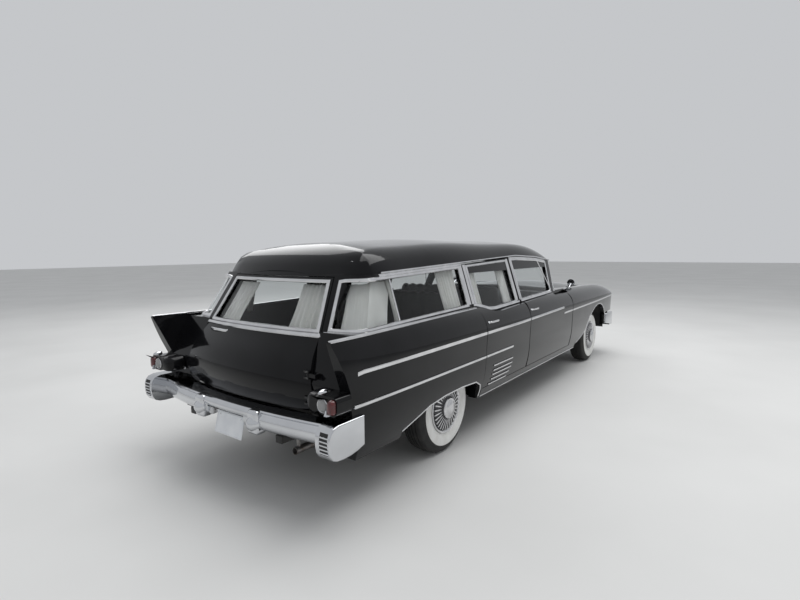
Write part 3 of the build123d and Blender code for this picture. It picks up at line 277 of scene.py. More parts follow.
def smooth(piece, degrees=35):
    take(piece)
    bpy.ops.object.shade_smooth_by_angle(angle=math.radians(degrees))


def outward(piece):
    start_edit(piece, "FACE", True)
    bpy.ops.mesh.remove_doubles(threshold=0.00005)
    bpy.ops.mesh.normals_make_consistent(inside=False)
    end_edit()


def face_out(piece):
    """Turns a closed piece right side out where its normals point inwards."""
    mesh = bmesh.new()
    mesh.from_mesh(piece.data)
    inside_out = mesh.calc_volume(signed=True) < 0
    mesh.free()
    if inside_out:
        start_edit(piece, "FACE", True)
        bpy.ops.mesh.flip_normals()
        end_edit()


def dress(piece, material, body, angle=35):
    piece.data.materials.clear()
    piece.data.materials.append(MATS[material])
    if angle:
        smooth(piece, angle)
    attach(piece, body)
    return piece


def copy_piece(piece, name, shift=(0, 0, 0)):
    twin = piece.copy()
    twin.data = piece.data.copy()
    for key in [k for k in twin.keys() if k.startswith("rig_")]:
        del twin[key]
    twin.parent = None
    twin.matrix_world = Matrix.Identity(4)
    bpy.context.scene.collection.objects.link(twin)
    twin.name = name
    twin.data.name = name
    twin.hide_render = False
    twin.hide_viewport = False
    if Vector(shift).length:
        twin.location = shift
        settle(twin, name)
    return twin


def mirror_piece(piece, name):
    twin = copy_piece(piece, name)
    take(twin)
    twin.scale = (-1, 1, 1)
    bpy.ops.object.transform_apply(location=True, rotation=True, scale=True)
    start_edit(twin, "FACE", True)
    bpy.ops.mesh.normals_make_consistent(inside=False)
    end_edit()
    return twin


def join_pieces(pieces, name):
    deselect()
    for piece in pieces:
        piece.select_set(True)
    bpy.context.view_layer.objects.active = pieces[0]
    bpy.ops.object.join()
    return settle(bpy.context.object, name)


# Smooth skins over the frame's panels

SKIN_SLOTS = {
    "body_black": ("cowl", "sills_and_posts", "roof", "quarter_left", "quarter_right", "fender_left",
                   "fender_right", "hood", "front_door_left", "front_door_right", "side_door_left",
                   "side_door_right", "rear_door"),
}
PLAIN_SLOTS = {
    "chassis_black": ("chassis_frame", "front_suspension", "rear_axle", "knuckle_left", "knuckle_right",
                      "fuel_tank"),
    "underbody": ("floor_pan",),
    "engine_iron": ("engine_block",),
    "exhaust_steel": ("exhaust_system",),
    "chrome": ("front_bumper", "rear_bumper", "grille", "fender_mirrors", "tail_lamps"),
    "wheel_chrome": ("wheel_front_left", "wheel_front_right", "wheel_rear_left", "wheel_rear_right"),
    "window_glass": ("windscreen", "quarter_glass", "rear_glass", "front_door_glass_left",
                     "front_door_glass_right", "side_door_glass_left", "side_door_glass_right"),
    "lamp_glass": ("headlamps",),
    "seat_leather": ("seats",),
    "dash_black": ("dashboard",),
    "tyre": ("tyre_front_left", "tyre_front_right", "tyre_rear_left", "tyre_rear_right"),
}


SKIN_ANGLE = 32


def skin(node, slot):
    """A merged, smooth copy of a frame node that is shown in its place."""
    piece = copy_piece(NODES[node], node + "_skin")
    start_edit(piece, "VERT", True)
    bpy.ops.mesh.remove_doubles(threshold=0.00002)
    end_edit()
    take(piece)
    if piece.data.has_custom_normals:
        bpy.ops.mesh.customdata_custom_splitnormals_clear()
    dress(piece, slot, BODY_OF[node], SKIN_ANGLE)
    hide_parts(node)
    return piece


# The roof's rear edge is bowed by this much over half its width
ROOF_EDGE_HALF, ROOF_EDGE_SAG = 0.650, 0.066
# The roof's rear end: z, the middle's y, and how far the corners are drawn in
ROOF_END = ((1.380, 2.666, 0.0), (1.434, 2.634, 0.0), (1.500, 2.594, 0.004), (1.560, 2.546, 0.012),
            (1.605, 2.476, 0.026), (1.645, 2.360, 0.044), (1.690, 2.120, 0.070))


def roof_end_cutter():
    """A tall block whose rear end curves as the real roof's does, drawn out from level to level."""
    rings = []
    for z, middle, tuck in ROOF_END:
        corner = (ROOF_EDGE_HALF - tuck, middle - ROOF_EDGE_SAG)
        left = arc_points((0.800, middle - 0.300), (0.756 - tuck * 0.6, middle - 0.160), corner, 6)
        rear = arc_points(corner, (0, middle), (-corner[0], corner[1]), 12)
        half = [(x, y, z) for x, y in left + rear[1:]]
        right = [(-x, y, z) for x, y in left[::-1][1:]]
        rings.append([(0.800, -1.5, z)] + half + right + [(-0.800, -1.5, z)])
    first = [(x, y, 1.30) for x, y, _ in rings[0]]
    last = [(x, y, 1.80) for x, y, _ in rings[-1]]
    return draw_out("roof_end_block", [first] + rings + [last])


def trim_roof(piece):
    modify(piece, "BOOLEAN", operation="INTERSECT", object=roof_end_cutter(), solver="EXACT")
    bpy.data.objects.remove(bpy.data.objects["roof_end_block"])
    smooth(piece, 30)


def dress_frame():
    skins = {}
    for slot, nodes in SKIN_SLOTS.items():
        for node in nodes:
            skins[node] = skin(node, slot)
    for slot, nodes in PLAIN_SLOTS.items():
        for node in nodes:
            obj = NODES[node]
            obj.data.materials.clear()
            obj.data.materials.append(MATS[slot])
    return skins


# Bright mouldings on the body sides

def strip(name, path, width):
    """A flat upright strip: a plane's edge drawn out along the path, point by point."""
    x, y, z = path[0]
    bpy.ops.mesh.primitive_plane_add(size=width, location=(x, y, z), rotation=(0, math.pi / 2, 0))
    piece = bpy.context.object
    start_edit(piece)
    choose("VERT", lambda p: p.y > y)
    bpy.ops.mesh.delete(type="VERT")
    bpy.ops.mesh.select_all(action="SELECT")
    bpy.ops.transform.translate(value=(0, width / 2, 0))
    for a, b in zip(path, path[1:]):
        step = Vector(b) - Vector(a)
        bpy.ops.mesh.extrude_edges_move(TRANSFORM_OT_translate={"value": step})
    end_edit()
    return settle(piece, name)


def along(points, step=0.12):
    """The same polyline with a point at least every step."""
    result = [points[0]]
    for a, b in zip(points, points[1:]):
        count = max(1, math.ceil((Vector(b) - Vector(a)).length / step))
        for k in range(1, count + 1):
            result.append(tuple(Vector(a).lerp(Vector(b), k / count)))
    return result


def clip(points, low, high):
    """The part of a (y, z) polyline between two y values."""
    points = sorted(points)
    cut = []
    for (ya, za), (yb, zb) in zip(points, points[1:]):
        y0, y1 = max(ya, low), min(yb, high)
        if y0 >= y1:
            continue
        for y in (y0, y1):
            z = za + (zb - za) * (y - ya) / (yb - ya)
            if not cut or y - cut[-1][0] > 0.001:
                cut.append((y, z))
    return cut


def press_on(piece, target):
    """Lays a strip that stands off the right side on the target's outer face."""
    modify(piece, "SHRINKWRAP", target=target, wrap_method="PROJECT", use_project_x=True,
           use_negative_direction=False, use_positive_direction=True)


def fatten(piece, thick, bevel, out):
    """Gives a strip its thickness outwards, and rounds its edges."""
    start_edit(piece, "FACE", True)
    bpy.ops.mesh.normals_make_consistent(inside=False)
    end_edit()
    normal = sum((f.normal for f in piece.data.polygons), Vector())
    if normal.dot(Vector(out)) < 0:
        start_edit(piece, "FACE", True)
        bpy.ops.mesh.flip_normals()
        end_edit()
    modify(piece, "SOLIDIFY", thickness=thick, offset=1.0, use_even_offset=True)
    if bevel:
        modify(piece, "BEVEL", width=bevel, segments=2, limit_method="ANGLE", angle_limit=math.radians(50))


PANEL_SPANS = (
    ("fender", NOSE_Y + 0.01, FRONT_DOOR_Y - SHUT_GAP / 2),
    ("front_door", FRONT_DOOR_Y + SHUT_GAP / 2, B_POST_Y - SHUT_GAP / 2),
    ("side_door", B_POST_Y + SHUT_GAP / 2, C_POST_Y - SHUT_GAP / 2),
    ("quarter", C_POST_Y + SHUT_GAP / 2, TAIL_Y),
)
UPPER_SPEAR = ((-0.671, 0.933), (-0.446, 0.929), (0.589, 0.913), (2.85, 0.905), (2.904, 0.899))
FRONT_SPEAR = ((-3.04, 0.895), (-2.775, 0.893), (-2.245, 0.886), (-1.306, 0.877), (-0.672, 0.868))
LOWER_SPEAR = ((0.750, 0.712), (2.958, 0.708))
SIDE_BARS = ((0.744, 1.140, 0.604), (0.749, 1.139, 0.561), (0.759, 1.147, 0.525), (0.791, 1.156, 0.485),
             (0.834, 1.188, 0.445))
SILL_LINE = ((-1.29, 0.358), (1.29, 0.358))


# Strips start outside the body at STRIP_X, and what stays beyond MISSED_X hasn't met the panel
STRIP_X, MISSED_X = -1.15, -1.1


def reach_panel(piece):
    """Gives each end of a strip that passed the panel's edge the x of the nearest point that met it."""
    met = [v.co.copy() for v in piece.data.vertices if v.co.x > MISSED_X]
    for v in piece.data.vertices:
        if v.co.x <= MISSED_X:
            v.co.x = min(met, key=lambda p: (p.yz - v.co.yz).length).x


def side_moulding(name, line, width, thick, skins, bevel=0.003, spans=PANEL_SPANS):
    """A moulding along the right side, cut at the panel gaps, and its left twin."""
    for panel, low, high in spans:
        cut = clip(line, low + 0.004, high - 0.004)
        if len(cut) < 2 or cut[-1][0] - cut[0][0] < 0.02:
            continue
        path = along([(STRIP_X, y, z) for y, z in cut], 0.04)
        for side, _ in SIDES:
            node = panel if panel == "sills_and_posts" else panel + "_" + side
            piece_name = name + "_" + panel + "_" + side
            if side == "right":
                piece = strip(piece_name, path, width)
                press_on(piece, skins[node])
                reach_panel(piece)
                fatten(piece, thick, bevel, (-1, 0, 0))
                for v in piece.data.vertices:
                    v.co.x = max(v.co.x, cad_box[0][0])
                first = piece
            else:
                piece = mirror_piece(first, piece_name)
            dress(piece, "trim", BODY_OF[node])


def body_mouldings(skins):
    side_moulding("upper_spear", UPPER_SPEAR, 0.024, 0.0035, skins, 0.0015)
    side_moulding("front_spear", FRONT_SPEAR, 0.022, 0.005, skins, 0.002)
    side_moulding("lower_spear", LOWER_SPEAR, 0.020, 0.009, skins, 0.004)
    for k, (y0, y1, z) in enumerate(SIDE_BARS):
        side_moulding(f"side_bar_{k}", ((y0, z), (y1, z)), 0.013, 0.010, skins, 0.004)
    side_moulding("sill_moulding", SILL_LINE, 0.012, 0.006, skins, 0.002,
                  (("sills_and_posts", -1.29, 1.29),))


# The upper body's outline, repeated from the frame, and beads that follow it

LOW_OUTLINE = (1.060, 0.889, 2.630, 0.868, 2.726, 0.795, 2.775, 0.420, 2.838, 2.860)
TOP_OUTLINE = (1.560, 0.732, 2.372, 0.714, 2.452, 0.655, 2.495, 0.350, 2.540, 2.556)
UPPER_FRONT_Y = -0.980
ARC_STEPS = 8
GUTTER = ((-0.84, 1.468), (-0.40, 1.516), (0.143, 1.536), (2.76, 1.434))
WINDOW_RAIL = 0.034
BELT_CUT = ((-0.64, 1.104), (0.900, 1.056), (1.010, 1.062), (1.120, 1.090), (1.256, 1.118), (1.300, 1.118))
WINDOW_SILL = 0.022


def on_line(table, y):
    """The z of a (y, z) polyline at y."""
    for (ya, za), (yb, zb) in zip(table, table[1:]):
        if y <= yb or yb == table[-1][0]:
            return za + (zb - za) * (y - ya) / (yb - ya)
    return table[-1][1]


def arc_points(a, b, c, steps):
    """Points on the circle through three points in plan, from a to c."""
    (ax, ay), (bx, by), (cx, cy) = a, b, c
    d = 2 * (ax * (by - cy) + bx * (cy - ay) + cx * (ay - by))
    ux = ((ax * ax + ay * ay) * (by - cy) + (bx * bx + by * by) * (cy - ay)
          + (cx * cx + cy * cy) * (ay - by)) / d
    uy = ((ax * ax + ay * ay) * (cx - bx) + (bx * bx + by * by) * (ax - cx)
          + (cx * cx + cy * cy) * (bx - ax)) / d
    radius = math.hypot(ax - ux, ay - uy)
    start, end = math.atan2(ay - uy, ax - ux), math.atan2(cy - uy, cx - ux)
    turn = (end - start + math.pi) % (2 * math.pi) - math.pi
    angles = [start + turn * k / steps for k in range(steps + 1)]
    return [(ux + radius * math.cos(angle), uy + radius * math.sin(angle)) for angle in angles]


def outline(z):
    """The upper body's right half in plan at z, from the front to the middle of the back."""
    t = (z - LOW_OUTLINE[0]) / (TOP_OUTLINE[0] - LOW_OUTLINE[0])
    level = [a + t * (b - a) for a, b in zip(LOW_OUTLINE, TOP_OUTLINE)]
    _, side, y1, mx, my, ex, ey, _, _, back = level
    corner = arc_points((side, y1), (mx, my), (ex, ey), ARC_STEPS)
    rear = arc_points((ex, ey), (0, back), (-ex, ey), 4 * ARC_STEPS)
    return [(side, UPPER_FRONT_Y)] + corner + rear[1:2 * ARC_STEPS + 1]


def shell_point(s, z):
    """A point on the right half of the upper body: s counts along the outline."""
    points = outline(z)
    k = max(0, min(int(s), len(points) - 2))
    x, y = Vector(points[k]).lerp(Vector(points[k + 1]), s - k)
    return Vector((-x, y, z))


def shell_normal(s, z):
    along_plan = shell_point(s + 0.01, z) - shell_point(s - 0.01, z)
    upward = shell_point(s, z + 0.01) - shell_point(s, z - 0.01)
    return upward.cross(along_plan).normalized()


def s_at_y(y, z):
    side_end = outline(z)[1][1]
    return (y - UPPER_FRONT_Y) / (side_end - UPPER_FRONT_Y)


def s_at_x(x, z):
    points = outline(z)
    for k, (a, b) in enumerate(zip(points, points[1:])):
        if k > 0 and b[0] <= x <= a[0]:
            return k + (a[0] - x) / max(1e-9, a[0] - b[0])
    return len(points) - 1.0


def place_ring(piece, ring, before=None):
    """Moves the vertices chosen in edit mode from the points of one ring to those of the next."""
    mesh = bmesh.from_edit_mesh(piece.data)
    chosen = sorted((v for v in mesh.verts if v.select), key=lambda v: v.index)
    if before:
        left = list(chosen)
        chosen = []
        for point in before:
            spot = Vector(point)
            nearest = min(left, key=lambda v: (v.co - spot).length_squared)
            left.remove(nearest)
            chosen.append(nearest)
    for vertex, point in zip(chosen, ring):
        vertex.co = point
    bmesh.update_edit_mesh(piece.data)


def draw_out(name, rings, closed=False):
    """A disc with as many corners as the first ring, drawn out from ring to ring."""
    bpy.ops.mesh.primitive_circle_add(vertices=len(rings[0]), radius=0.01, fill_type="NGON")
    piece = bpy.context.object
    start_edit(piece, "FACE", True)
    if closed:
        bpy.ops.mesh.delete(type="ONLY_FACE")
        bpy.ops.mesh.select_mode(type="EDGE")
        bpy.ops.mesh.select_all(action="SELECT")
    place_ring(piece, rings[0])
    path = rings + (rings[:1] if closed else [])
    for before, ring in zip(path, path[1:]):
        if closed:
            bpy.ops.mesh.extrude_edges_move()
        else:
            bpy.ops.mesh.extrude_region_move()
        place_ring(piece, ring, before)
    end_edit()
    outward(piece)
    face_out(piece)
    return settle(piece, name)


BEAD_PROFILE = ((-0.5, 0), (-0.5, 0.55), (-0.32, 1), (0.32, 1), (0.5, 0.55), (0.5, 0))


def bead(name, path, normals, width, thick, closed=False, sink=0.002):
    """A rounded bar drawn out along a path, width wide across it and thick along the normals."""
    path = [Vector(p) for p in path]
    count = len(path)
    rings = []
    for k, p in enumerate(path):
        if closed:
            before, after = path[k - 1], path[(k + 1) % count]
        else:
            before, after = path[max(k - 1, 0)], path[min(k + 1, count - 1)]
        into = p - before
        out = after - p
        into = into.normalized() if into.length > 1e-7 else out.normalized()
        out = out.normalized() if out.length > 1e-7 else into
        tangent = (into + out).normalized()
        normal = Vector(normals[k] if isinstance(normals, list) else normals).normalized()
        across = normal.cross(tangent).normalized()
        stretch = 1 / max(0.5, tangent.dot(into))
        rings.append([p + across * width * stretch * a + normal * (thick * b - sink)
                      for a, b in BEAD_PROFILE])
    return draw_out(name, rings, closed)


def both_sides(name, make, body, material="trim", angle=35):
    """Makes a right-hand piece and its left twin; body is a format with a place for the side."""
    first = make(name + "_right")
    twin = mirror_piece(first, name + "_left")
    dress(first, material, body.format(side="right"), angle)
    dress(twin, material, body.format(side="left"), angle)
    return first, twin


def bead_pair(name, path, normals, width, thick, body="body", closed=False, material="trim"):
    return both_sides(name, lambda n: bead(n, path, normals, width, thick, closed), body, material)


def drawn_pair(name, rings, material="chrome", angle=35):
    return both_sides(name, lambda n: draw_out(n, rings), "body", material, angle)


SIDE_LEAN = Vector((-0.954, 0, 0.2996))


def side_points(points):
    """Points on the flat of the upper body's right side from (y, z) pairs."""
    return [shell_point(s_at_y(y, z), z) for y, z in points]


def rail_top(y, drop=WINDOW_RAIL):
    return on_line(GUTTER, y) - drop


def belt_base(y):
    return on_line(BELT_CUT, y) + WINDOW_SILL


DOOR_WINDOWS = (
    ("front_door", ((-0.574, None), (-0.655, rail_top(-0.655)), (-0.40, rail_top(-0.40)),
                    (0.143, rail_top(0.143)), (0.282, rail_top(0.282)), (0.278, None))),
    ("side_door", ((0.402, None), (0.406, rail_top(0.406)), (1.226, rail_top(1.226)), (1.228, None),
                   (1.120, None), (1.010, None), (0.900, None))),
)


# The slanted rear edge of the quarter windows: its x at one height, and how much x it loses upwards
PILLAR_X, PILLAR_Z, PILLAR_LEAN = 0.666, 1.066, 0.2067
QUARTER_START_Y, QUARTER_BASE_Z, QUARTER_FALL = 1.362, 1.136, 0.036 / 1.598
QUARTER_CORNER_Z, QUARTER_TOP_Z = 1.104, 1.402


def pillar_edge(z):
    return PILLAR_X - PILLAR_LEAN * (z - PILLAR_Z)


def window_frames():
    for door, corners in DOOR_WINDOWS:
        loop = [(y, belt_base(y) if z is None else z) for y, z in corners]
        path = side_points(along(loop + loop[:1], 0.15)[:-1])
        bead_pair(door + "_window_frame", path, SIDE_LEAN, 0.024, 0.011, door + "_{side}", True)
    quarter, quarter_normals = [], []

    def add(s, z):
        quarter.append(shell_point(s, z))
        quarter_normals.append(shell_normal(s, z))

    for y in (QUARTER_START_Y, 1.7, 2.1, 2.4):
        z = QUARTER_BASE_Z - QUARTER_FALL * (y - QUARTER_START_Y)
        add(s_at_y(y, z), z)
    end = s_at_x(pillar_edge(QUARTER_CORNER_Z), QUARTER_CORNER_Z)
    for k in range(13):
        add(1.0 + (end - 1.0) * k / 12, QUARTER_CORNER_Z + (0.003 if k < 4 else 0))
    for k in range(1, 6):
        z = QUARTER_CORNER_Z + (1.398 - QUARTER_CORNER_Z) * k / 5
        add(s_at_x(pillar_edge(z), z), z)
    end = s_at_x(pillar_edge(1.40), 1.40)
    for k in range(1, 13):
        s = end + (1.0 - end) * k / 12
        add(s, min(QUARTER_TOP_Z + 0.002 * k, rail_top(shell_point(s, 1.41).y)))
    for y in (2.1, 1.7, 1.358):
        add(s_at_y(y, rail_top(y)), rail_top(y))
    bead_pair("quarter_window_frame", quarter, quarter_normals, 0.026, 0.011, "body", True)


def bar_on_side(name, points, width, thick, body):
    bead_pair(name, side_points(along(points, 0.2)), SIDE_LEAN, width, thick, body)


# Bright covers and rails: name, body, width, thickness and (y, z) points; a z below 0 counts down
# from the gutter
POST_COVERS = (
    ("front_door_rear_cover", "front_door_{side}", 0.026, 0.006, ((0.299, 1.10), (0.299, -0.012))),
    ("side_door_front_cover", "side_door_{side}", 0.044, 0.006, ((0.372, 1.10), (0.374, -0.020))),
    ("side_door_rear_cover", "side_door_{side}", 0.050, 0.006, ((1.260, 1.142), (1.259, -0.020))),
    ("quarter_front_cover", "body", 0.054, 0.006, ((1.328, 1.142), (1.328, -0.006))),
    ("front_door_top_cover", "front_door_{side}", 0.020, 0.006,
     ((-0.66, -0.019), (-0.40, -0.019), (0.143, -0.019), (0.312, -0.019))),
    ("quarter_top_cover", "body", 0.026, 0.006, ((1.302, -0.017), (2.42, -0.017))),
    ("quarter_divider", "body", 0.012, 0.006, ((2.319, 1.118), (2.319, -WINDOW_RAIL))),
    ("drip_rail", "body", 0.013, 0.013, ((-0.80, 1.4735), (-0.40, 1.518), (0.143, 1.538), (2.40, 1.450))),
    ("vent_divider", "front_door_{side}", 0.014, 0.008, ((-0.603, 1.140), (-0.520, 1.30), (-0.425, 1.478))),
)
# The strips under the windows: each point's y, and the y whose belt height it takes
SILL_STRIPS = (
    ("side_door", ((0.352, 0.352), (0.9, 0.9), (1.01, 1.01), (1.12, 1.12), (1.256, 1.256), (1.286, 1.28))),
    ("front_door", ((-0.58, -0.58), (0.310, 0.310))),
)


def window_posts():
    for name, body, width, thick, points in POST_COVERS:
        bar_on_side(name, [(y, rail_top(y, -z) if z < 0 else z) for y, z in points], width, thick, body)
    for door, places in SILL_STRIPS:
        line = [(y, belt_base(base_y) - 0.010) for y, base_y in places]
        bar_on_side(door + "_sill_strip", line, 0.026, 0.016, door + "_{side}")


# The fin's top edge: y, x and z
FIN_TOP = ((1.300, 0.905, 1.1145), (1.719, 0.922, 1.1125), (2.400, 0.946, 1.1075),
           (2.800, 0.956, 1.1055), (3.083, 0.962, 1.1075))


def rear_brightwork():
    fin = [(-x, y, z) for y, x, z in FIN_TOP]
    bead_pair("fin_strip", along(fin, 0.15), Vector((-0.45, 0, 0.9)), 0.022, 0.008)
    path, normals = [], []
    low, high, low_x, high_x = 1.092, 1.398, 0.574, 0.504
    for z0, x0, z1, x1, steps in ((low, -low_x, low, low_x, 12), (low, low_x, high, high_x, 5),
                                  (high, high_x, high, -high_x, 12), (high, -high_x, low, -low_x, 5)):
        for k in range(steps):
            z, x = z0 + (z1 - z0) * k / steps, x0 + (x1 - x0) * k / steps
            path.append(rear_point(x, z))
            normals.append(rear_normal(x, z))
    frame_bead = bead("rear_window_frame", path, normals, 0.026, 0.011, True)
    dress(frame_bead, "trim", "rear_door")
    xs = [-0.618 + 1.236 * k / 16 for k in range(17)]
    path = [rear_point(x, 1.066) for x in xs]
    normals = [rear_normal(x, 1.066) for x in xs]
    dress(bead("rear_door_belt", path, normals, 0.030, 0.016), "trim", "rear_door")
    corner = s_at_x(0.628, 1.078)
    ends = [corner + (1.6 - corner) * k / 10 for k in range(11)]
    bead_pair("corner_belt", [shell_point(s, 1.080) for s in ends], [shell_normal(s, 1.080) for s in ends],
              0.028, 0.014)


# The header's lower and upper edge, and where its upper edge lies in the middle
HEADER_LOW, HEADER_HIGH, HEADER_MID_Y = 1.4275, 1.456, 2.6185


def rear_header():
    """A painted panel that slopes from the roof's rear edge down to the top of the rear door."""
    rings = []
    for k in range(25):
        x = -0.60 + 1.20 * k / 24
        door_y = rear_point(x, HEADER_LOW).y - 0.003
        roof_y = HEADER_MID_Y - ROOF_EDGE_SAG * (x / ROOF_EDGE_HALF) ** 2
        section = ((door_y - 0.012, HEADER_LOW), (door_y, HEADER_LOW), (door_y, HEADER_LOW + 0.004),
                   (roof_y, HEADER_HIGH), (roof_y - 0.012, HEADER_HIGH))
        rings.append([(x, y, z) for y, z in section])
    dress(draw_out("rear_header", rings), "body_black", "body", 30)


HOUSE_MID_X, HOUSE_WIDE, HOUSE_WALL_X = -0.715, 0.43, (-0.503, -0.500)


def wheel_houses():
    """Arched sheets over the front wheels and the walls inside them."""
    arch = [(y, z + 0.014) for y, z in FRONT_ARCH]
    path = [Vector((HOUSE_MID_X, y, z)) for y, z in along(arch, 0.06)]
    normals = []
    for k in range(len(path)):
        step = path[min(k + 1, len(path) - 1)] - path[max(k - 1, 0)]
        normals.append(Vector((0, -step.z, step.y)))
    bead_pair("front_wheel_house", path, normals, HOUSE_WIDE, 0.003, "body", False, "underbody")
    wall = [(y, z + 0.012) for y, z in FRONT_ARCH if z > 0.50]
    drawn_pair("front_house_wall", [[(x, y, z) for y, z in wall] for x in HOUSE_WALL_X],
               "underbody", 20)


def nose_fillers():
    core = block("radiator_core", (-0.560, -2.950, 0.520), (0.560, -2.930, 0.880), 0.006, 2)
    dress(core, "cover_dark", "body")
    block_pair("lower_grille", (-0.915, -3.034, 0.560), (-0.606, -3.020, 0.730), 0.004, 2,
               "rubber")
    for k in range(3):
        z = 0.602 + 0.045 * k
        block_pair(f"lower_grille_bar_{k}", (-0.910, -3.044, z - 0.005), (-0.610, -3.030, z + 0.005),
                   0.003, 2)


def rear_point(x, z):
    p = shell_point(s_at_x(abs(x), z), z)
    return Vector((x, p.y, z))


def rear_normal(x, z):
    n = shell_normal(s_at_x(max(abs(x), 0.02), z), z)
    return Vector((-n.x if x > 0 else n.x, n.y, n.z))


# Bars, blocks and turned pieces

def block(name, low, high, bevel=0.0, segments=3):
    """A cube set between two corners, with its edges rounded."""
    low, high = Vector(low), Vector(high)
    bpy.ops.mesh.primitive_cube_add(size=1, location=(low + high) / 2, scale=high - low)
    piece = settle(bpy.context.object, name)
    if bevel:
        start_edit(piece, "EDGE", True)
        bpy.ops.mesh.bevel(offset=bevel, segments=segments, affect="EDGES")
        end_edit()
    return piece


def turned(name, profile, centre, axis, steps=48):
    """A profile of (radius, out) points, set beside the axis and spun about it."""
    side = Vector((0, 0, 1))
    axis = Vector(axis)
    bpy.ops.mesh.primitive_plane_add(size=0.01)
    piece = bpy.context.object
    start_edit(piece, "VERT", True)
    bpy.ops.mesh.merge(type="CENTER")
    place_ring(piece, [Vector(centre) + side * profile[0][0] + axis * profile[0][1]])
    for radius, out in profile[1:]:
        bpy.ops.mesh.extrude_vertices_move()
        place_ring(piece, [Vector(centre) + side * radius + axis * out])
    bpy.ops.mesh.select_all(action="SELECT")
    bpy.ops.mesh.spin(steps=steps, angle=math.tau, center=centre, axis=axis)
    end_edit()
    outward(piece)
    return settle(piece, name)


def turned_pair(name, profile, centre, axis, steps, material="chrome", body="body"):
    return both_sides(name, lambda n: turned(n, profile, centre, axis, steps), body, material)


def block_pair(name, low, high, bevel, segments, material="chrome"):
    return both_sides(name, lambda n: block(n, low, high, bevel, segments), "body", material)


def subtract(piece, cutter):
    """Cuts one piece out of another."""
    modify(piece, "BOOLEAN", operation="DIFFERENCE", object=cutter, solver="EXACT")
    bpy.data.objects.remove(cutter)


def cushion_levels(piece, levels):
    modify(piece, "SUBSURF", levels=levels, render_levels=levels)


# Rear bumper

BUMPER_END, BUMPER_MID = (0.900, 3.040), 3.118
FRONT_BAR_END_X, FRONT_BAR_MID, FRONT_BAR_SAG = 0.960, -3.112, 0.072
GUARD_X, BULLET_Z = 0.297, 0.523
POD_OUTLINE = ((2.858, 0.652), (2.858, 0.474), (2.92, 0.456), (2.985, 0.446), (3.04, 0.445), (3.09, 0.450),
               (3.122, 0.464), (3.142, 0.494), (3.150, 0.545), (3.148, 0.590), (3.138, 0.618),
               (3.118, 0.640), (3.078, 0.652))
POD_X, LOUVRE_X = (-0.900, -1.012), (-0.992, -0.932)
# Turned profiles are lists of (radius, out) from the centre
REAR_BULLET = ((0.0, 0.034), (0.06, 0.034), (0.062, 0.040), (0.061, 0.062), (0.056, 0.085), (0.046, 0.106),
               (0.03, 0.124), (0.014, 0.132), (0.0, 0.134))
FRONT_BULLET = ((0.0, 0.0), (0.086, 0.0), (0.087, 0.012), (0.083, 0.032), (0.074, 0.056), (0.060, 0.078),
                (0.042, 0.096), (0.022, 0.107), (0.0, 0.110))


def bow(x, half, sag):
    """How far a bar bowed by sag over half its length lies behind its middle at x."""
    radius = (half ** 2 + sag ** 2) / (2 * sag)
    return radius - math.sqrt(radius ** 2 - x ** 2)


def bumper_y(x):
    """The outer face of the rear bar at x."""
    return BUMPER_MID - bow(x, BUMPER_END[0], BUMPER_MID - BUMPER_END[1])


def nose_y(x):
    """The outer face of the front bar at x."""
    return FRONT_BAR_MID + bow(x, FRONT_BAR_END_X, FRONT_BAR_SAG)


def bar_ring(x, low, high, swell, back, face, out):
    """A bar's section at x, round on its outer side; out is the way it faces along Y."""
    y, mid, half = face(x), (low + high) / 2, (high - low) / 2
    ring = []
    for k in range(11):
        turn = math.radians(-90 + 18 * k)
        ring.append((x, y - out * swell * (1 - math.cos(turn)), mid + half * math.sin(turn)))
    return ring + [(x, y - out * back, high - 0.004), (x, y - out * back, low + 0.004)]


def bar_between(name, x0, x1, low, high, swell, back, count, face=bumper_y, out=1):
    xs = [x0 + (x1 - x0) * k / count for k in range(count + 1)]
    return draw_out(name, [bar_ring(x, low, high, swell, back, face, out) for x in xs])


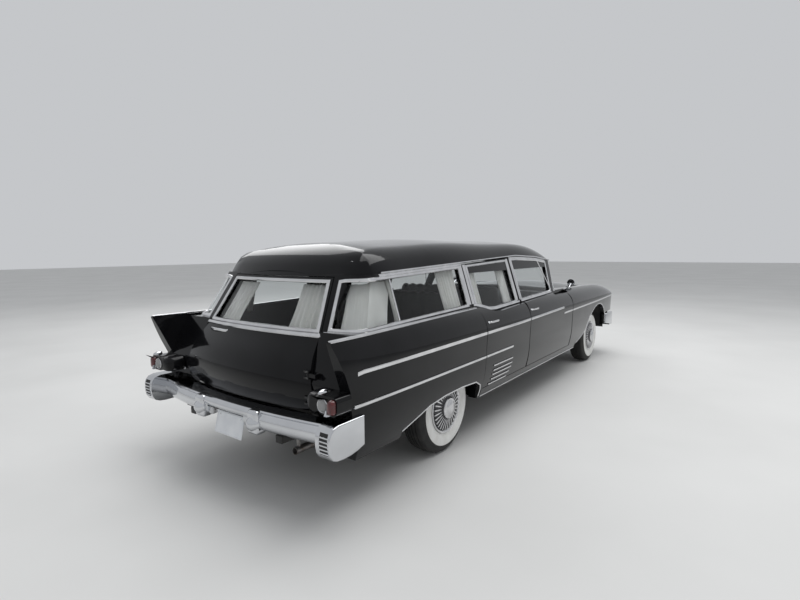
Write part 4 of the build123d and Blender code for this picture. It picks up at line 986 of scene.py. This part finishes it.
def rear_bumper():
    bar = bar_between("rear_bar_right", -0.905, -0.20, 0.476, 0.600, 0.046, 0.078, 16)
    twin = mirror_piece(bar, "rear_bar_left")
    dress(bar, "chrome", "body", 30)
    dress(twin, "chrome", "body", 30)
    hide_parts("rear_bumper")
    arch = bar_between("rear_bar_arch", -0.26, 0.26, 0.540, 0.610, 0.034, 0.07, 14)
    dress(arch, "chrome", "body", 30)
    xs = [-0.89 + 1.78 * k / 20 for k in range(21)]
    shelf = draw_out("rear_valance", [[(x, 2.952, 0.592), (x, 2.952, 0.610), (x, bumper_y(x) - 0.026, 0.607),
                                       (x, bumper_y(x) - 0.018, 0.600), (x, bumper_y(x) - 0.026, 0.592)]
                                      for x in xs])
    dress(shelf, "chrome", "body", 25)

    def guard(name):
        post = block(name, (-GUARD_X - 0.05, 3.040, 0.452), (-GUARD_X + 0.05, 3.122, 0.609), 0.022, 4)
        start_edit(post, "FACE")
        choose("FACE", lambda p, n: n.y > 0.9)
        bpy.ops.mesh.inset(thickness=0.006, depth=0.004)
        end_edit()
        return post

    both_sides("bumper_guard", guard, "body", "chrome")
    turned_pair("bumper_bullet", REAR_BULLET, (-GUARD_X, 3.018, BULLET_Z), (0, 1, 0), 40)

    def pod(name):
        piece = draw_out(name, [[(x, y, z) for y, z in POD_OUTLINE] for x in POD_X])
        start_edit(piece, "EDGE")
        choose("EDGE", lambda p: p.x < POD_X[1] + 0.0001)
        bpy.ops.mesh.bevel(offset=0.010, segments=4, affect="EDGES")
        end_edit()
        return piece

    both_sides("bumper_pod", pod, "body", "chrome")
    face = [(y + 0.0012, z) for y, z in POD_OUTLINE if 0.48 < z < 0.62]
    panel = [(3.11, face[0][1])] + face + [(3.11, face[-1][1])]
    drawn_pair("pod_slot", [[(x, y, z) for y, z in panel] for x in LOUVRE_X], "rubber")
    for k in range(5):
        low = 0.500 + 0.022 * k
        high_y = 3.1535 if k in (1, 2, 3) else 3.150
        block_pair(f"pod_rib_{k}", (LOUVRE_X[0] - 0.005, 3.104, low),
                   (LOUVRE_X[1] + 0.006, high_y, low + 0.010), 0.003, 2)
    block_pair("bumper_iron", (-0.510, 2.8603, 0.420), (-0.450, 3.060, 0.470), 0.004, 2,
               "chassis_black")
    block_pair("bumper_iron_end", (-0.508, 3.002, 0.462), (-0.452, 3.050, 0.525), 0.004, 2,
               "chassis_black")


PLATE_HALF, PLATE_PLACE = Vector((0.150, 0.002, 0.075)), Vector((0, 3.080, 0.446))
PLATE_TILT = math.radians(14)
BOLT = ((0, 0.004), (0.003, 0.004), (0.006, 0.0015), (0.006, -0.004), (0, -0.004))
BOLT_X, BOLT_UP = 0.115, 0.052


def rear_plate():
    plate = block("plate_blank", -PLATE_HALF, PLATE_HALF, 0.0015, 2)
    start_edit(plate, "FACE")
    choose("FACE", lambda p, n: n.y > 0.9)
    bpy.ops.mesh.inset(thickness=0.008, depth=0.0)
    bpy.ops.mesh.inset(thickness=0.003, depth=-0.0012)
    end_edit()
    plate.rotation_euler = (PLATE_TILT, 0, 0)
    plate.location = PLATE_PLACE
    settle(plate, "plate_blank")
    dress(plate, "plate", "body", 25)
    holder = block("plate_bracket", (-0.06, 3.010, 0.470), (0.06, 3.056, 0.560), 0.004, 2)
    dress(holder, "chassis_black", "body", 25)
    up = Vector((0, -math.sin(PLATE_TILT), math.cos(PLATE_TILT)))
    out = Vector((0, math.cos(PLATE_TILT), math.sin(PLATE_TILT)))
    for k, x in enumerate((-BOLT_X, BOLT_X)):
        bolt = turned(f"plate_bolt_{k}", BOLT, PLATE_PLACE + Vector((x, 0, 0)) + up * BOLT_UP, out, 16)
        dress(bolt, "trim", "body")


# Front bumper, lamp surrounds and grille studs

def front_bumper():
    bar = bar_between("front_bar", -0.96, 0.96, 0.430, 0.566, 0.030, 0.060, 28, nose_y, -1)
    dress(bar, "chrome", "body", 30)
    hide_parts("front_bumper")
    ridge = bar_between("front_bar_ridge", -0.955, 0.955, 0.476, 0.520, 0.008, 0.040, 28, nose_y, -1)
    start_edit(ridge, "VERT", True)
    bpy.ops.transform.translate(value=(0, -0.005, 0))
    end_edit()
    dress(ridge, "chrome", "body", 30)

    def wing(name):
        piece = block(name, (-0.984, -3.050, 0.440), (-0.930, -2.706, 0.640), 0.016, 4)
        start_edit(piece)
        choose("VERT", lambda p: p.y > -2.8 and p.z < 0.52)
        bpy.ops.transform.translate(value=(0, 0, 0.050))
        end_edit()
        return piece

    both_sides("front_bumper_wing", wing, "body", "chrome")
    turned_pair("front_bullet", FRONT_BULLET, (-0.440, -3.045, 0.560), (0, -1, 0), 44)
    block_pair("front_iron", (-0.430, -3.060, 0.300), (-0.370, -2.9503, 0.360), 0.004, 2,
               "chassis_black")
    block_pair("front_iron_end", (-0.428, -3.072, 0.302), (-0.372, -3.012, 0.450), 0.004, 2,
               "chassis_black")


HEADLAMP_X, HEADLAMP_Z = (0.684, 0.834), 0.806
# Each lamp's turned layers: name, y, steps, material, slot, profile
HEADLAMP_LAYERS = (
    ("ring", -3.046, 48, "trim", "chrome",
     ((0.0665, 0.0), (0.0720, 0.004), (0.0725, 0.016), (0.0700, 0.0205), (0.0650, 0.0190), (0.0620, 0.012),
      (0.0620, 0.0))),
    ("lens", -3.048, 48, "lamp_glass", "lamp_glass",
     ((0.0, 0.019), (0.015, 0.0185), (0.030, 0.0165), (0.045, 0.0135), (0.056, 0.0095), (0.0625, 0.004),
      (0.0625, 0.0))),
    ("bowl", -3.0495, 40, "wheel_chrome", "chrome",
     ((0.0, 0.0005), (0.061, 0.0005), (0.061, 0.0035), (0.030, 0.0025), (0.0, 0.0020))),
)


def head_lamps():
    for k, x in enumerate(HEADLAMP_X):
        for word, y, steps, material, slot, profile in HEADLAMP_LAYERS:
            turned_pair(f"headlamp_{word}_{k}", profile, (-x, y, HEADLAMP_Z), (0, -1, 0), steps,
                        material)


STUD = ((0.0, 0.0), (0.0095, 0.0), (0.0095, 0.003), (0.007, 0.009), (0.0035, 0.0125), (0.0, 0.0135))


def grille_studs():
    studs = []
    stud = turned("stud", STUD, (0, -3.0395, 0), (0, -1, 0), 10)
    for row in range(5):
        for column in range(9):
            place = (-0.500 + 0.125 * column, 0, 0.640 + 0.052 * row)
            studs.append(copy_piece(stud, f"stud_{row}_{column}", place))
    bpy.data.objects.remove(stud)
    piece = join_pieces(studs, "grille_studs")
    dress(piece, "chrome", "body")


SCREEN_LOW = (1.121, (0.862, -0.690), (0.800, -0.900), (0.640, -1.010), -1.100)
SCREEN_TOP = (1.468, (0.758, -0.790), (0.712, -0.885), (0.610, -0.932), -0.972)


def screen_edge(shape):
    """The windscreen's outline in plan at one height, from right to left, with its normals."""
    z, start, mid, end, front = shape
    corner = arc_points(start, mid, end, 8)
    middle = arc_points(end, (0, front), (-end[0], end[1]), 20)
    right = [(-x, y) for x, y in corner] + [(-x, y) for x, y in middle[1:]]
    points = right + [(x, y) for x, y in corner[::-1][1:]]
    normals = []
    for k in range(len(points)):
        a, b = Vector(points[max(k - 1, 0)]), Vector(points[min(k + 1, len(points) - 1)])
        step = (b - a).normalized()
        normals.append(Vector((step.y, -step.x, 0.30)).normalized())
    return [Vector((x, y, z)) for x, y in points], normals


def screen_frame():
    low, low_normals = screen_edge(SCREEN_LOW)
    top, top_normals = screen_edge(SCREEN_TOP)
    path = low + [low[-1].lerp(top[-1], k / 5) for k in range(1, 5)] + top[::-1]
    path += [top[0].lerp(low[0], k / 5) for k in range(1, 5)]
    normals = low_normals + [low_normals[-1]] * 4 + top_normals[::-1] + [low_normals[0]] * 4
    dress(bead("windscreen_frame", path, normals, 0.020, 0.008, True, 0.004), "trim", "body")


# Tail lamps: a painted fairing, a bright brow, a clear lens and a red lens beside it

LAMP_LOW, LAMP_HIGH = 0.690, 0.802
LAMP_X0, LAMP_X1 = 0.852, 1.004
LAMP_START_Y = 2.9583
LENS_PLACE = (-0.898, 3.077, 0.744)
CLEAR_LENS = ((0.0, 0.026), (0.010, 0.0255), (0.020, 0.023), (0.029, 0.018), (0.034, 0.011), (0.036, 0.0),
              (0.0, 0.0))
LENS_RING = ((0.036, 0.001), (0.041, 0.001), (0.0415, 0.009), (0.039, 0.012), (0.036, 0.009), (0.036, 0.001))
FIN_BULLET = ((0.0, 0.0), (0.013, 0.004), (0.019, 0.020), (0.017, 0.038), (0.011, 0.056), (0.004, 0.068),
              (0.0, 0.071))
LAMP_WEDGE = [
    [(-0.930, 3.076, 0.696), (-0.962, 3.076, 0.696), (-0.952, 3.076, 0.736), (-0.938, 3.076, 0.736)],
    [(-0.934, 3.112, 0.698), (-0.954, 3.112, 0.698), (-0.948, 3.104, 0.730), (-0.940, 3.104, 0.730)],
]


def lamp_ring(y, x0, x1, low, high, round_by):
    """A rounded rectangle in plan X-Z at y, on the right side."""
    ring = []
    for cx, cz, start in ((x1 - round_by, high - round_by, 0), (x0 + round_by, high - round_by, 90),
                          (x0 + round_by, low + round_by, 180), (x1 - round_by, low + round_by, 270)):
        for k in range(6):
            turn = math.radians(start + 18 * k)
            ring.append((-(cx + round_by * math.cos(turn)), y, cz + round_by * math.sin(turn)))
    return ring


def tail_lamps():
    rings = [lamp_ring(y, 0.744 + pull, 0.868, LAMP_LOW + pull * 0.3, LAMP_HIGH - pull * 0.35, 0.040)
             for y, pull in ((LAMP_START_Y, 0.0), (3.040, 0.0), (3.066, 0.010), (3.080, 0.030))]
    first, _ = drawn_pair("lamp_fairing", rings, "body_black")
    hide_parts("tail_lamps")
    rings = [lamp_ring(y, LAMP_X0, LAMP_X1, LAMP_LOW, LAMP_HIGH, 0.034) for y in (LAMP_START_Y, 3.078)]
    drawn_pair("lamp_housing", rings, "body_black")

    def brow(name):
        outer = [lamp_ring(y, LAMP_X0 - 0.004, LAMP_X1 + 0.004, LAMP_LOW + low, LAMP_HIGH + 0.002, 0.036)
                 for y, low in ((3.055, 0.0), (3.088, 0.0), (3.104, 0.040), (3.122, 0.074), (3.130, 0.082))]
        piece = draw_out(name, outer)
        hole = draw_out("hole", [lamp_ring(y, LAMP_X0 + 0.006, LAMP_X1 - 0.006, LAMP_LOW + 0.008,
                                           LAMP_HIGH - 0.007, 0.028) for y in (3.076, 3.150)])
        subtract(piece, hole)
        return piece

    both_sides("lamp_brow", brow, "body", "chrome")
    turned_pair("clear_lens", CLEAR_LENS, LENS_PLACE, (0, 1, 0), 40, "lamp_glass")
    turned_pair("lens_ring", LENS_RING, LENS_PLACE, (0, 1, 0), 40, "trim")
    rings = []
    for y, pull in ((3.072, 0.0), (3.092, 0.002), (3.102, 0.008), (3.106, 0.018)):
        rings.append(lamp_ring(y, 0.942 + pull, 0.996 - pull, 0.702 + pull, 0.790 - pull,
                               0.022 - pull * 0.8))
    drawn_pair("red_lens", rings, "red_lens")
    drawn_pair("lamp_wedge", LAMP_WEDGE)
    turned_pair("fin_bullet", FIN_BULLET, (-0.902, 3.050, 0.822), (0, 1, 0), 32)


# Whitewall tyres

# Wheel sections are lists of (radius, out) from the middle of the wheel
TYRE_SIDE = ((0.222, 0.094), (0.240, 0.0975), (0.260, 0.1005), (0.285, 0.103), (0.310, 0.1000),
             (0.328, 0.0925), (0.342, 0.084), (0.348, 0.0815), (0.352, 0.078), (0.3555, 0.072),
             (0.357, 0.066))
# Over the tread: how far out, and 1 where a groove is cut
TREAD = ((0.064, 0), (0.046, 0), (0.0445, 1), (0.0385, 1), (0.037, 0), (0.0165, 0), (0.015, 1), (0.009, 1),
         (0.0075, 0))
TREAD_RADIUS, TREAD_DROP, GROOVE_DEEP, TREAD_HALF = 0.364, 0.007, 0.008, 0.066
WHITEWALL_RISE = 0.0016


def tyre_profile():
    """The section of a tyre from its inner bead, over the tread with its grooves, to its outer bead."""
    half = [(0.1915, 0.080)] + list(TYRE_SIDE)
    for x, sunk in TREAD:
        half.append((TREAD_RADIUS - TREAD_DROP * (x / TREAD_HALF) ** 2 - GROOVE_DEEP * sunk, x))
    return half + [(r, -x) for r, x in reversed(half)]


def whitewall_profile():
    line = ((0.205, 0.0905),) + TYRE_SIDE[:4] + ((0.298, 0.1019),)
    return [(0.204, 0.0885)] + [(r, x + WHITEWALL_RISE) for r, x in line] + [(0.2995, 0.1005)]


def wheel_turned(name, profile, steps):
    return turned(name, profile, (-WHEEL_X, 0, HUB_Z), (-1, 0, 0), steps)


def fit_wheels(patterns, angle):
    """Copies each pattern (piece, word, material) from the middle to the four wheels, then removes it."""
    for end, y in (("front", FRONT_AXLE_Y), ("rear", REAR_AXLE_Y)):
        for piece, word, material in patterns:
            right = copy_piece(piece, f"{word}_{end}_right", (0, y, 0))
            left = mirror_piece(right, f"{word}_{end}_left")
            for side, twin in (("right", right), ("left", left)):
                dress(twin, material, f"wheel_{end}_{side}", angle)
                if word == "tyre_dressed":
                    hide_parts(f"tyre_{end}_{side}")
    for piece, _, _ in patterns:
        bpy.data.objects.remove(piece)


def tyres():
    profile = tyre_profile()
    first = wheel_turned("tyre_first", profile + profile[:1], 96)
    band = wheel_turned("whitewall_first", whitewall_profile(), 96)
    fit_wheels(((first, "tyre_dressed", "tyre"), (band, "whitewall", "whitewall")), 28)


# Wheel covers: fins round a dark dish, with a bright dome in the middle

COVER_FINS = 30
RIM_RING = ((0.186, 0.080), (0.196, 0.090), (0.204, 0.093), (0.206, 0.098), (0.201, 0.1025), (0.192, 0.1015),
            (0.184, 0.097), (0.180, 0.092))
COVER_DISH = ((0.182, 0.095), (0.170, 0.1025), (0.150, 0.1065), (0.120, 0.1100), (0.094, 0.1160),
              (0.084, 0.1225), (0.078, 0.1230))
COVER_DOME = ((0.0835, 0.121), (0.0835, 0.128), (0.078, 0.133), (0.066, 0.1345), (0.058, 0.1380),
              (0.046, 0.1440), (0.030, 0.1480), (0.014, 0.1500), (0.0, 0.1505))


def wheel_covers():
    rim = wheel_turned("rim_ring_first", RIM_RING, 72)
    dish = wheel_turned("dish_first", COVER_DISH, 72)
    dome = wheel_turned("dome_first", COVER_DOME, 48)
    fin = block("fin_first", (-WHEEL_X - 0.1165, -0.0035, HUB_Z + 0.092),
                (-WHEEL_X - 0.1085, 0.0035, HUB_Z + 0.180), 0.0015, 2)
    start_edit(fin)
    choose("VERT", lambda p: p.z > HUB_Z + 0.150)
    bpy.ops.transform.translate(value=(0.0085, 0, 0))
    bpy.ops.transform.resize(value=(1, 1.9, 1), center_override=(0, 0, HUB_Z))
    end_edit()
    up, down = Matrix.Translation((0, 0, HUB_Z)), Matrix.Translation((0, 0, -HUB_Z))
    fins = []
    for k in range(COVER_FINS):
        twin = copy_piece(fin, f"fin_copy_{k}")
        twin.matrix_world = up @ Matrix.Rotation(math.tau * k / COVER_FINS, 4, "X") @ down
        fins.append(settle(twin, f"fin_copy_{k}"))
    bpy.data.objects.remove(fin)
    ring = join_pieces(fins, "fin_ring_first")
    patterns = ((rim, "rim_ring", "wheel_chrome"), (dish, "cover_dish", "cover_dark"),
                (dome, "cover_dome", "wheel_chrome"), (ring, "cover_fins", "wheel_chrome"))
    fit_wheels(patterns, 30)


# Seats: padded bench and back, with sewn channels

SEAT_STEP = 0.880
SEAT_HALF = 0.628


def bench(name, outline, shift, channels, deep):
    """A padded block drawn across the car from a side outline, puffed between its sewn channels."""
    count = channels * 4
    rings = []
    for k in range(count + 1):
        x = -SEAT_HALF + 2 * SEAT_HALF * k / count
        edge = min(1.0, (SEAT_HALF - abs(x)) / 0.05)
        puff = 1 - deep * (0.5 + 0.5 * math.cos(math.tau * channels * k / count)) - 0.16 * (1 - edge) ** 2
        cy = sum(y for y, _ in outline) / len(outline)
        cz = sum(z for _, z in outline) / len(outline)
        rings.append([(x, cy + (y - cy) * puff + shift, cz + (z - cz) * puff) for y, z in outline])
    piece = draw_out(name, rings)
    cushion_levels(piece, 2)
    dress(piece, "seat_leather", "body", 60)
    return piece


CUSHION = ((-0.315, 0.480), (-0.322, 0.560), (-0.318, 0.640), (-0.296, 0.690), (-0.240, 0.716),
           (-0.120, 0.722), (0.000, 0.712), (0.090, 0.706), (0.128, 0.690), (0.135, 0.600), (0.125, 0.480),
           (-0.100, 0.470))
BACKREST = ((0.128, 0.640), (0.128, 0.740), (0.148, 0.860), (0.172, 0.990), (0.196, 1.110), (0.214, 1.190),
            (0.244, 1.222), (0.286, 1.224), (0.318, 1.200), (0.314, 1.080), (0.288, 0.860), (0.262, 0.660),
            (0.210, 0.620))


def seats():
    first = None
    for k in range(2):
        for word, outline, channels, deep in (("cushion", CUSHION, 12, 0.05), ("back", BACKREST, 12, 0.07)):
            piece = bench(f"seat_{k}_{word}", outline, k * SEAT_STEP, channels, deep)
            first = first or piece
    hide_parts("seats")
    for k in range(2):
        base = block(f"seat_{k}_base", (-0.600, -0.290 + k * SEAT_STEP, 0.402),
                     (0.600, 0.215 + k * SEAT_STEP, 0.500), 0.012, 3)
        dress(base, "dash_black", "body", 30)


# Handles, arch lips and the roof's seam

RAY_X = -1.3


def on_skin(skins, node, points):
    """Points and normals where level rays from the right meet a panel."""
    target = skins[node]
    tree = BVHTree.FromObject(target, bpy.context.evaluated_depsgraph_get())
    path, normals = [], []
    for y, z in points:
        hit, normal, _, _ = tree.ray_cast(Vector((RAY_X, y, z)), Vector((1, 0, 0)))
        if hit is not None:
            path.append(hit)
            normals.append(normal if normal.x < 0 else -normal)
    return path, normals


REAR_ARCH = ((1.330, 0.34), (1.330, 0.432), (1.347, 0.477), (1.437, 0.521), (1.669, 0.534), (1.919, 0.527),
             (2.121, 0.502), (2.329, 0.430), (2.414, 0.400))
FRONT_ARCH = ((-2.718, 0.420), (-2.697, 0.523), (-2.647, 0.644), (-2.565, 0.736), (-2.442, 0.799),
              (-2.320, 0.827), (-2.180, 0.831), (-2.037, 0.805), (-1.898, 0.750), (-1.785, 0.695),
              (-1.695, 0.615), (-1.628, 0.535), (-1.558, 0.491), (-1.460, 0.454), (-1.379, 0.427),
              (-1.296, 0.400))
DOOR_BUTTON = ((0.0, 0.010), (0.008, 0.009), (0.010, 0.006), (0.010, -0.004))


def arch_lips(skins):
    for name, node, arch in (("rear_arch_lip", "quarter_right", REAR_ARCH),
                             ("front_arch_lip", "fender_right", FRONT_ARCH)):
        path, normals = on_skin(skins, node, along(arch, 0.04))
        bead_pair(name, path, normals, 0.011, 0.005)


def handle(name, y0, y1, z, out=0.032):
    """A pull handle: a rounded bar on two feet, its ends drawn down to the panel."""
    rings = []
    shape = ((0.0, 0.0, 0.5), (0.03, 0.55, 0.75), (0.10, 0.92, 1.0), (0.3, 1.0, 1.0), (0.7, 1.0, 0.95),
             (0.90, 0.92, 0.9), (0.97, 0.55, 0.7), (1.0, 0.0, 0.45))
    for share, lift, size in shape:
        y = y0 + (y1 - y0) * share
        rings.append([(-lift * out - 0.006 * size * math.cos(math.tau * k / 8),
                       y, z + 0.010 * size * math.sin(math.tau * k / 8)) for k in range(8)])
    return draw_out(name, rings)


def door_handles(skins):
    for door, y0, y1, z in (("front_door", 0.095, 0.262, 1.000), ("side_door", 1.052, 1.222, 0.990)):
        path, _ = on_skin(skins, door + "_right", [((y0 + y1) / 2, z)])

        def make(name):
            piece = handle(name, y0, y1, z, 0.012)
            piece.location = (path[0].x + 0.002, 0, 0)
            settle(piece, name)
            cushion_levels(piece, 1)
            return piece

        both_sides(door + "_handle", make, door + "_{side}")
        turned_pair(door + "_button", DOOR_BUTTON, (path[0].x, y1 + 0.022, z), (-1, 0, 0), 24,
                    body=door + "_{side}")


def rear_handle():
    y = rear_point(0.39, 1.030).y
    piece = draw_out("rear_door_pull", [
        [(x, y + lift * 0.030 + 0.006 * math.cos(math.tau * k / 8) * size,
          1.030 + 0.011 * size * math.sin(math.tau * k / 8)) for k in range(8)]
        for x, lift, size in ((0.268, -1.0, 0.5), (0.272, 0.4, 0.8), (0.288, 0.95, 1.0), (0.34, 1.0, 1.1),
                              (0.43, 0.9, 1.1), (0.498, 0.55, 1.0), (0.510, 0.1, 0.8), (0.514, -0.8, 0.5))])
    cushion_levels(piece, 1)
    dress(piece, "trim", "rear_door")


def roof_seam(skins):
    tree = BVHTree.FromObject(skins["roof"], bpy.context.evaluated_depsgraph_get())
    path, normals = [], []
    for k in range(25):
        x = -0.60 + 1.20 * k / 24
        hit, normal, _, _ = tree.ray_cast(Vector((x, 2.33 - 0.10 * x * x, 2.2)), Vector((0, 0, -1)))
        if hit is not None:
            path.append(hit)
            normals.append(normal if normal.z > 0 else -normal)
    dress(bead("roof_seam", path, normals, 0.007, 0.0012), "rubber", "body")


# Curtains, each a pleated sheet hung behind its glass

CURTAIN_IN = 0.052
PLEAT = 0.038
PLEAT_DEEP = 0.013


def curtain(name, top, base, inward, body, seed, gather=0.0):
    """A hung sheet between a line of points along its top and one along its base, pleated along inward."""
    draw = random.Random(seed)
    columns, rows = 8, 14
    length = sum((Vector(b) - Vector(a)).length for a, b in zip(top, top[1:]))
    pleats = max(3, round(length / PLEAT))
    waves = [0.0]
    for _ in range(pleats):
        waves.append(waves[-1] + draw.uniform(0.75, 1.3))
    waves = [w / waves[-1] for w in waves]
    deep = [draw.uniform(0.7, 1.15) for _ in range(pleats)]
    across = pleats * columns
    bpy.ops.mesh.primitive_grid_add(x_subdivisions=across, y_subdivisions=rows, size=1)
    piece = bpy.context.object
    for v in piece.data.vertices:
        u, t = v.co.x + 0.5, v.co.y + 0.5
        k = min(int(u * pleats + 1e-6), pleats - 1)
        place = waves[k] + (waves[k + 1] - waves[k]) * (u * pleats - k)
        pinch = 0.5 + (place - 0.5) * (1 - gather * math.sin(math.pi * t))
        p = Vector(point_on(base, pinch)).lerp(Vector(point_on(top, place)), t)
        swing = math.sin(math.tau * (u * pleats - k) + 0.6 * math.sin(3 * t + k))
        deeper = PLEAT_DEEP * deep[k] * (0.75 + 0.35 * (1 - t))
        v.co = p + Vector(inward).normalized() * deeper * swing
    settle(piece, name)
    modify(piece, "SOLIDIFY", thickness=0.0012, offset=0)
    dress(piece, "curtain", body, 60)
    return piece


def point_on(line, share):
    """The point at a share of the way along a line of points, counted by point."""
    at = max(0.0, min(share, 1.0)) * (len(line) - 1)
    k = min(int(at), len(line) - 2)
    return Vector(line[k]).lerp(Vector(line[k + 1]), at - k)


# Curtains at the sides: name, body, their ends along Y, random seed and how far they are gathered
SIDE_CURTAINS = (
    ("side_door_front_curtain", "side_door_{side}", 0.425, 0.60, 11, 0.0),
    ("side_door_rear_curtain", "side_door_{side}", 1.02, 1.205, 12, 0.0),
    ("quarter_front_curtain", "body", 1.385, 1.66, 13, 0.08),
    ("quarter_strip_curtain", "body", 2.262, 2.305, 14, 0.0),
)
CORNER_STEPS = 12


def hung_point(s, z, sign):
    """A point inside the glass, on the right where sign is -1 and on the left where it is 1."""
    p = shell_point(s, z) - shell_normal(s, z) * CURTAIN_IN
    return (-sign * p.x, p.y, p.z)


def side_low(y, body):
    """Where a side curtain ends below."""
    if body == "body":
        return QUARTER_BASE_Z - 0.018 - QUARTER_FALL * (y - QUARTER_START_Y)
    return belt_base(y) - 0.005


def curtains():
    for name, body, y0, y1, seed, gather in SIDE_CURTAINS:
        ys = [y0 + (y1 - y0) * k / 3 for k in range(4)]
        highs = [(y, rail_top(y) + 0.004) for y in ys]
        lows = [(y, side_low(y, body)) for y in ys]
        for side, sign in SIDES:
            top, base = [[hung_point(s_at_y(y, z), z, sign) for y, z in line] for line in (highs, lows)]
            inward = (sign * SIDE_LEAN.x, 0, -SIDE_LEAN.z)
            curtain(f"{name}_{side}", top, base, inward, body.format(side=side), seed, gather)
    corner = s_at_x(0.667, 1.25) - 1.0
    ends = [s_at_y(2.335, 1.25)] + [0.98 + corner * k / CORNER_STEPS for k in range(1, CORNER_STEPS + 1)]
    n = shell_normal(1.5, 1.25)
    xs = [0.555 - 0.28 * k / 6 for k in range(7)]
    for side, sign in SIDES:
        top, base = [[hung_point(s, z, sign) for s in ends] for z in (1.405, 1.092)]
        curtain(f"quarter_rear_curtain_{side}", top, base, (sign * n.x, -n.y, -n.z), "body", 15)
        top = [hung_point(s_at_x(x * 0.885, 1.395), 1.395, sign) for x in xs]
        base = [hung_point(s_at_x(x, 1.10), 1.10, sign) for x in xs]
        curtain(f"rear_curtain_{side}", top, base, (0, -1, -0.4), "rear_door", 16, 0.12)


# Lights, floor and camera

def stage_set():
    bpy.ops.mesh.primitive_plane_add(size=120, location=(0, 0, -0.001))
    floor = bpy.context.object
    floor.name = "floor"
    mat = new_material("pale_floor", (0.62, 0.62, 0.61), 0.7)
    vary_colour(mat, (0.6, 0.6, 0.59), (0.64, 0.64, 0.63), 0.6)
    floor.data.materials.append(mat)
    world = bpy.data.worlds.new("studio")
    bpy.context.scene.world = world
    world.use_nodes = True
    back = world.node_tree.nodes["Background"]
    back.inputs["Color"].default_value = (0.9, 0.92, 0.95, 1)
    back.inputs["Strength"].default_value = 0.62
    for name, place, size, power in (("key", (-2, -1, 10), 9, 800), ("fill", (8, -3, 8), 7, 260)):
        bpy.ops.object.light_add(type="AREA", location=place)
        lamp = bpy.context.object
        lamp.name = name + "_light"
        lamp.data.size = size
        lamp.data.energy = power
        lamp.rotation_euler = (Vector((0, 0, 0.7)) - Vector(place)).to_track_quat("-Z", "Y").to_euler()


# The camera fitted to the photo: its place, its turns in radians and its focal length in pixels of width
CAMERA_PLACE = (-2.815, 4.927, 1.597)
CAMERA_YAW, CAMERA_PITCH, CAMERA_ROLL = 0.6406, -0.1009, -0.0085
CAMERA_FOCAL, PHOTO_WIDE, SENSOR_WIDE = 485.4, 800, 36.0


def photo_camera():
    level = math.cos(CAMERA_PITCH)
    look = Vector((math.sin(CAMERA_YAW) * level, -math.cos(CAMERA_YAW) * level, math.sin(CAMERA_PITCH)))
    turn = look.to_track_quat("-Z", "Y").to_matrix() @ Matrix.Rotation(CAMERA_ROLL, 3, "Z")
    bpy.ops.object.camera_add(location=CAMERA_PLACE)
    camera = bpy.context.object
    camera.name = "photo_camera"
    camera.rotation_euler = turn.to_euler()
    camera.data.sensor_width = SENSOR_WIDE
    camera.data.sensor_fit = "HORIZONTAL"
    camera.data.lens = CAMERA_FOCAL / PHOTO_WIDE * SENSOR_WIDE
    camera.data.clip_end = 300
    bpy.context.scene.camera = camera
    bpy.context.scene.view_settings.view_transform = "Standard"


paint_materials()
bright_materials()
trim_materials()
photo_camera()
stage_set()
skins = dress_frame()
body_mouldings(skins)
window_frames()
window_posts()
trim_roof(skins["roof"])
rear_brightwork()
rear_bumper()
rear_plate()
front_bumper()
head_lamps()
grille_studs()
screen_frame()
rear_header()
wheel_houses()
nose_fillers()
tail_lamps()
tyres()
wheel_covers()
seats()
arch_lips(skins)
door_handles(skins)
rear_handle()
roof_seam(skins)
curtains()
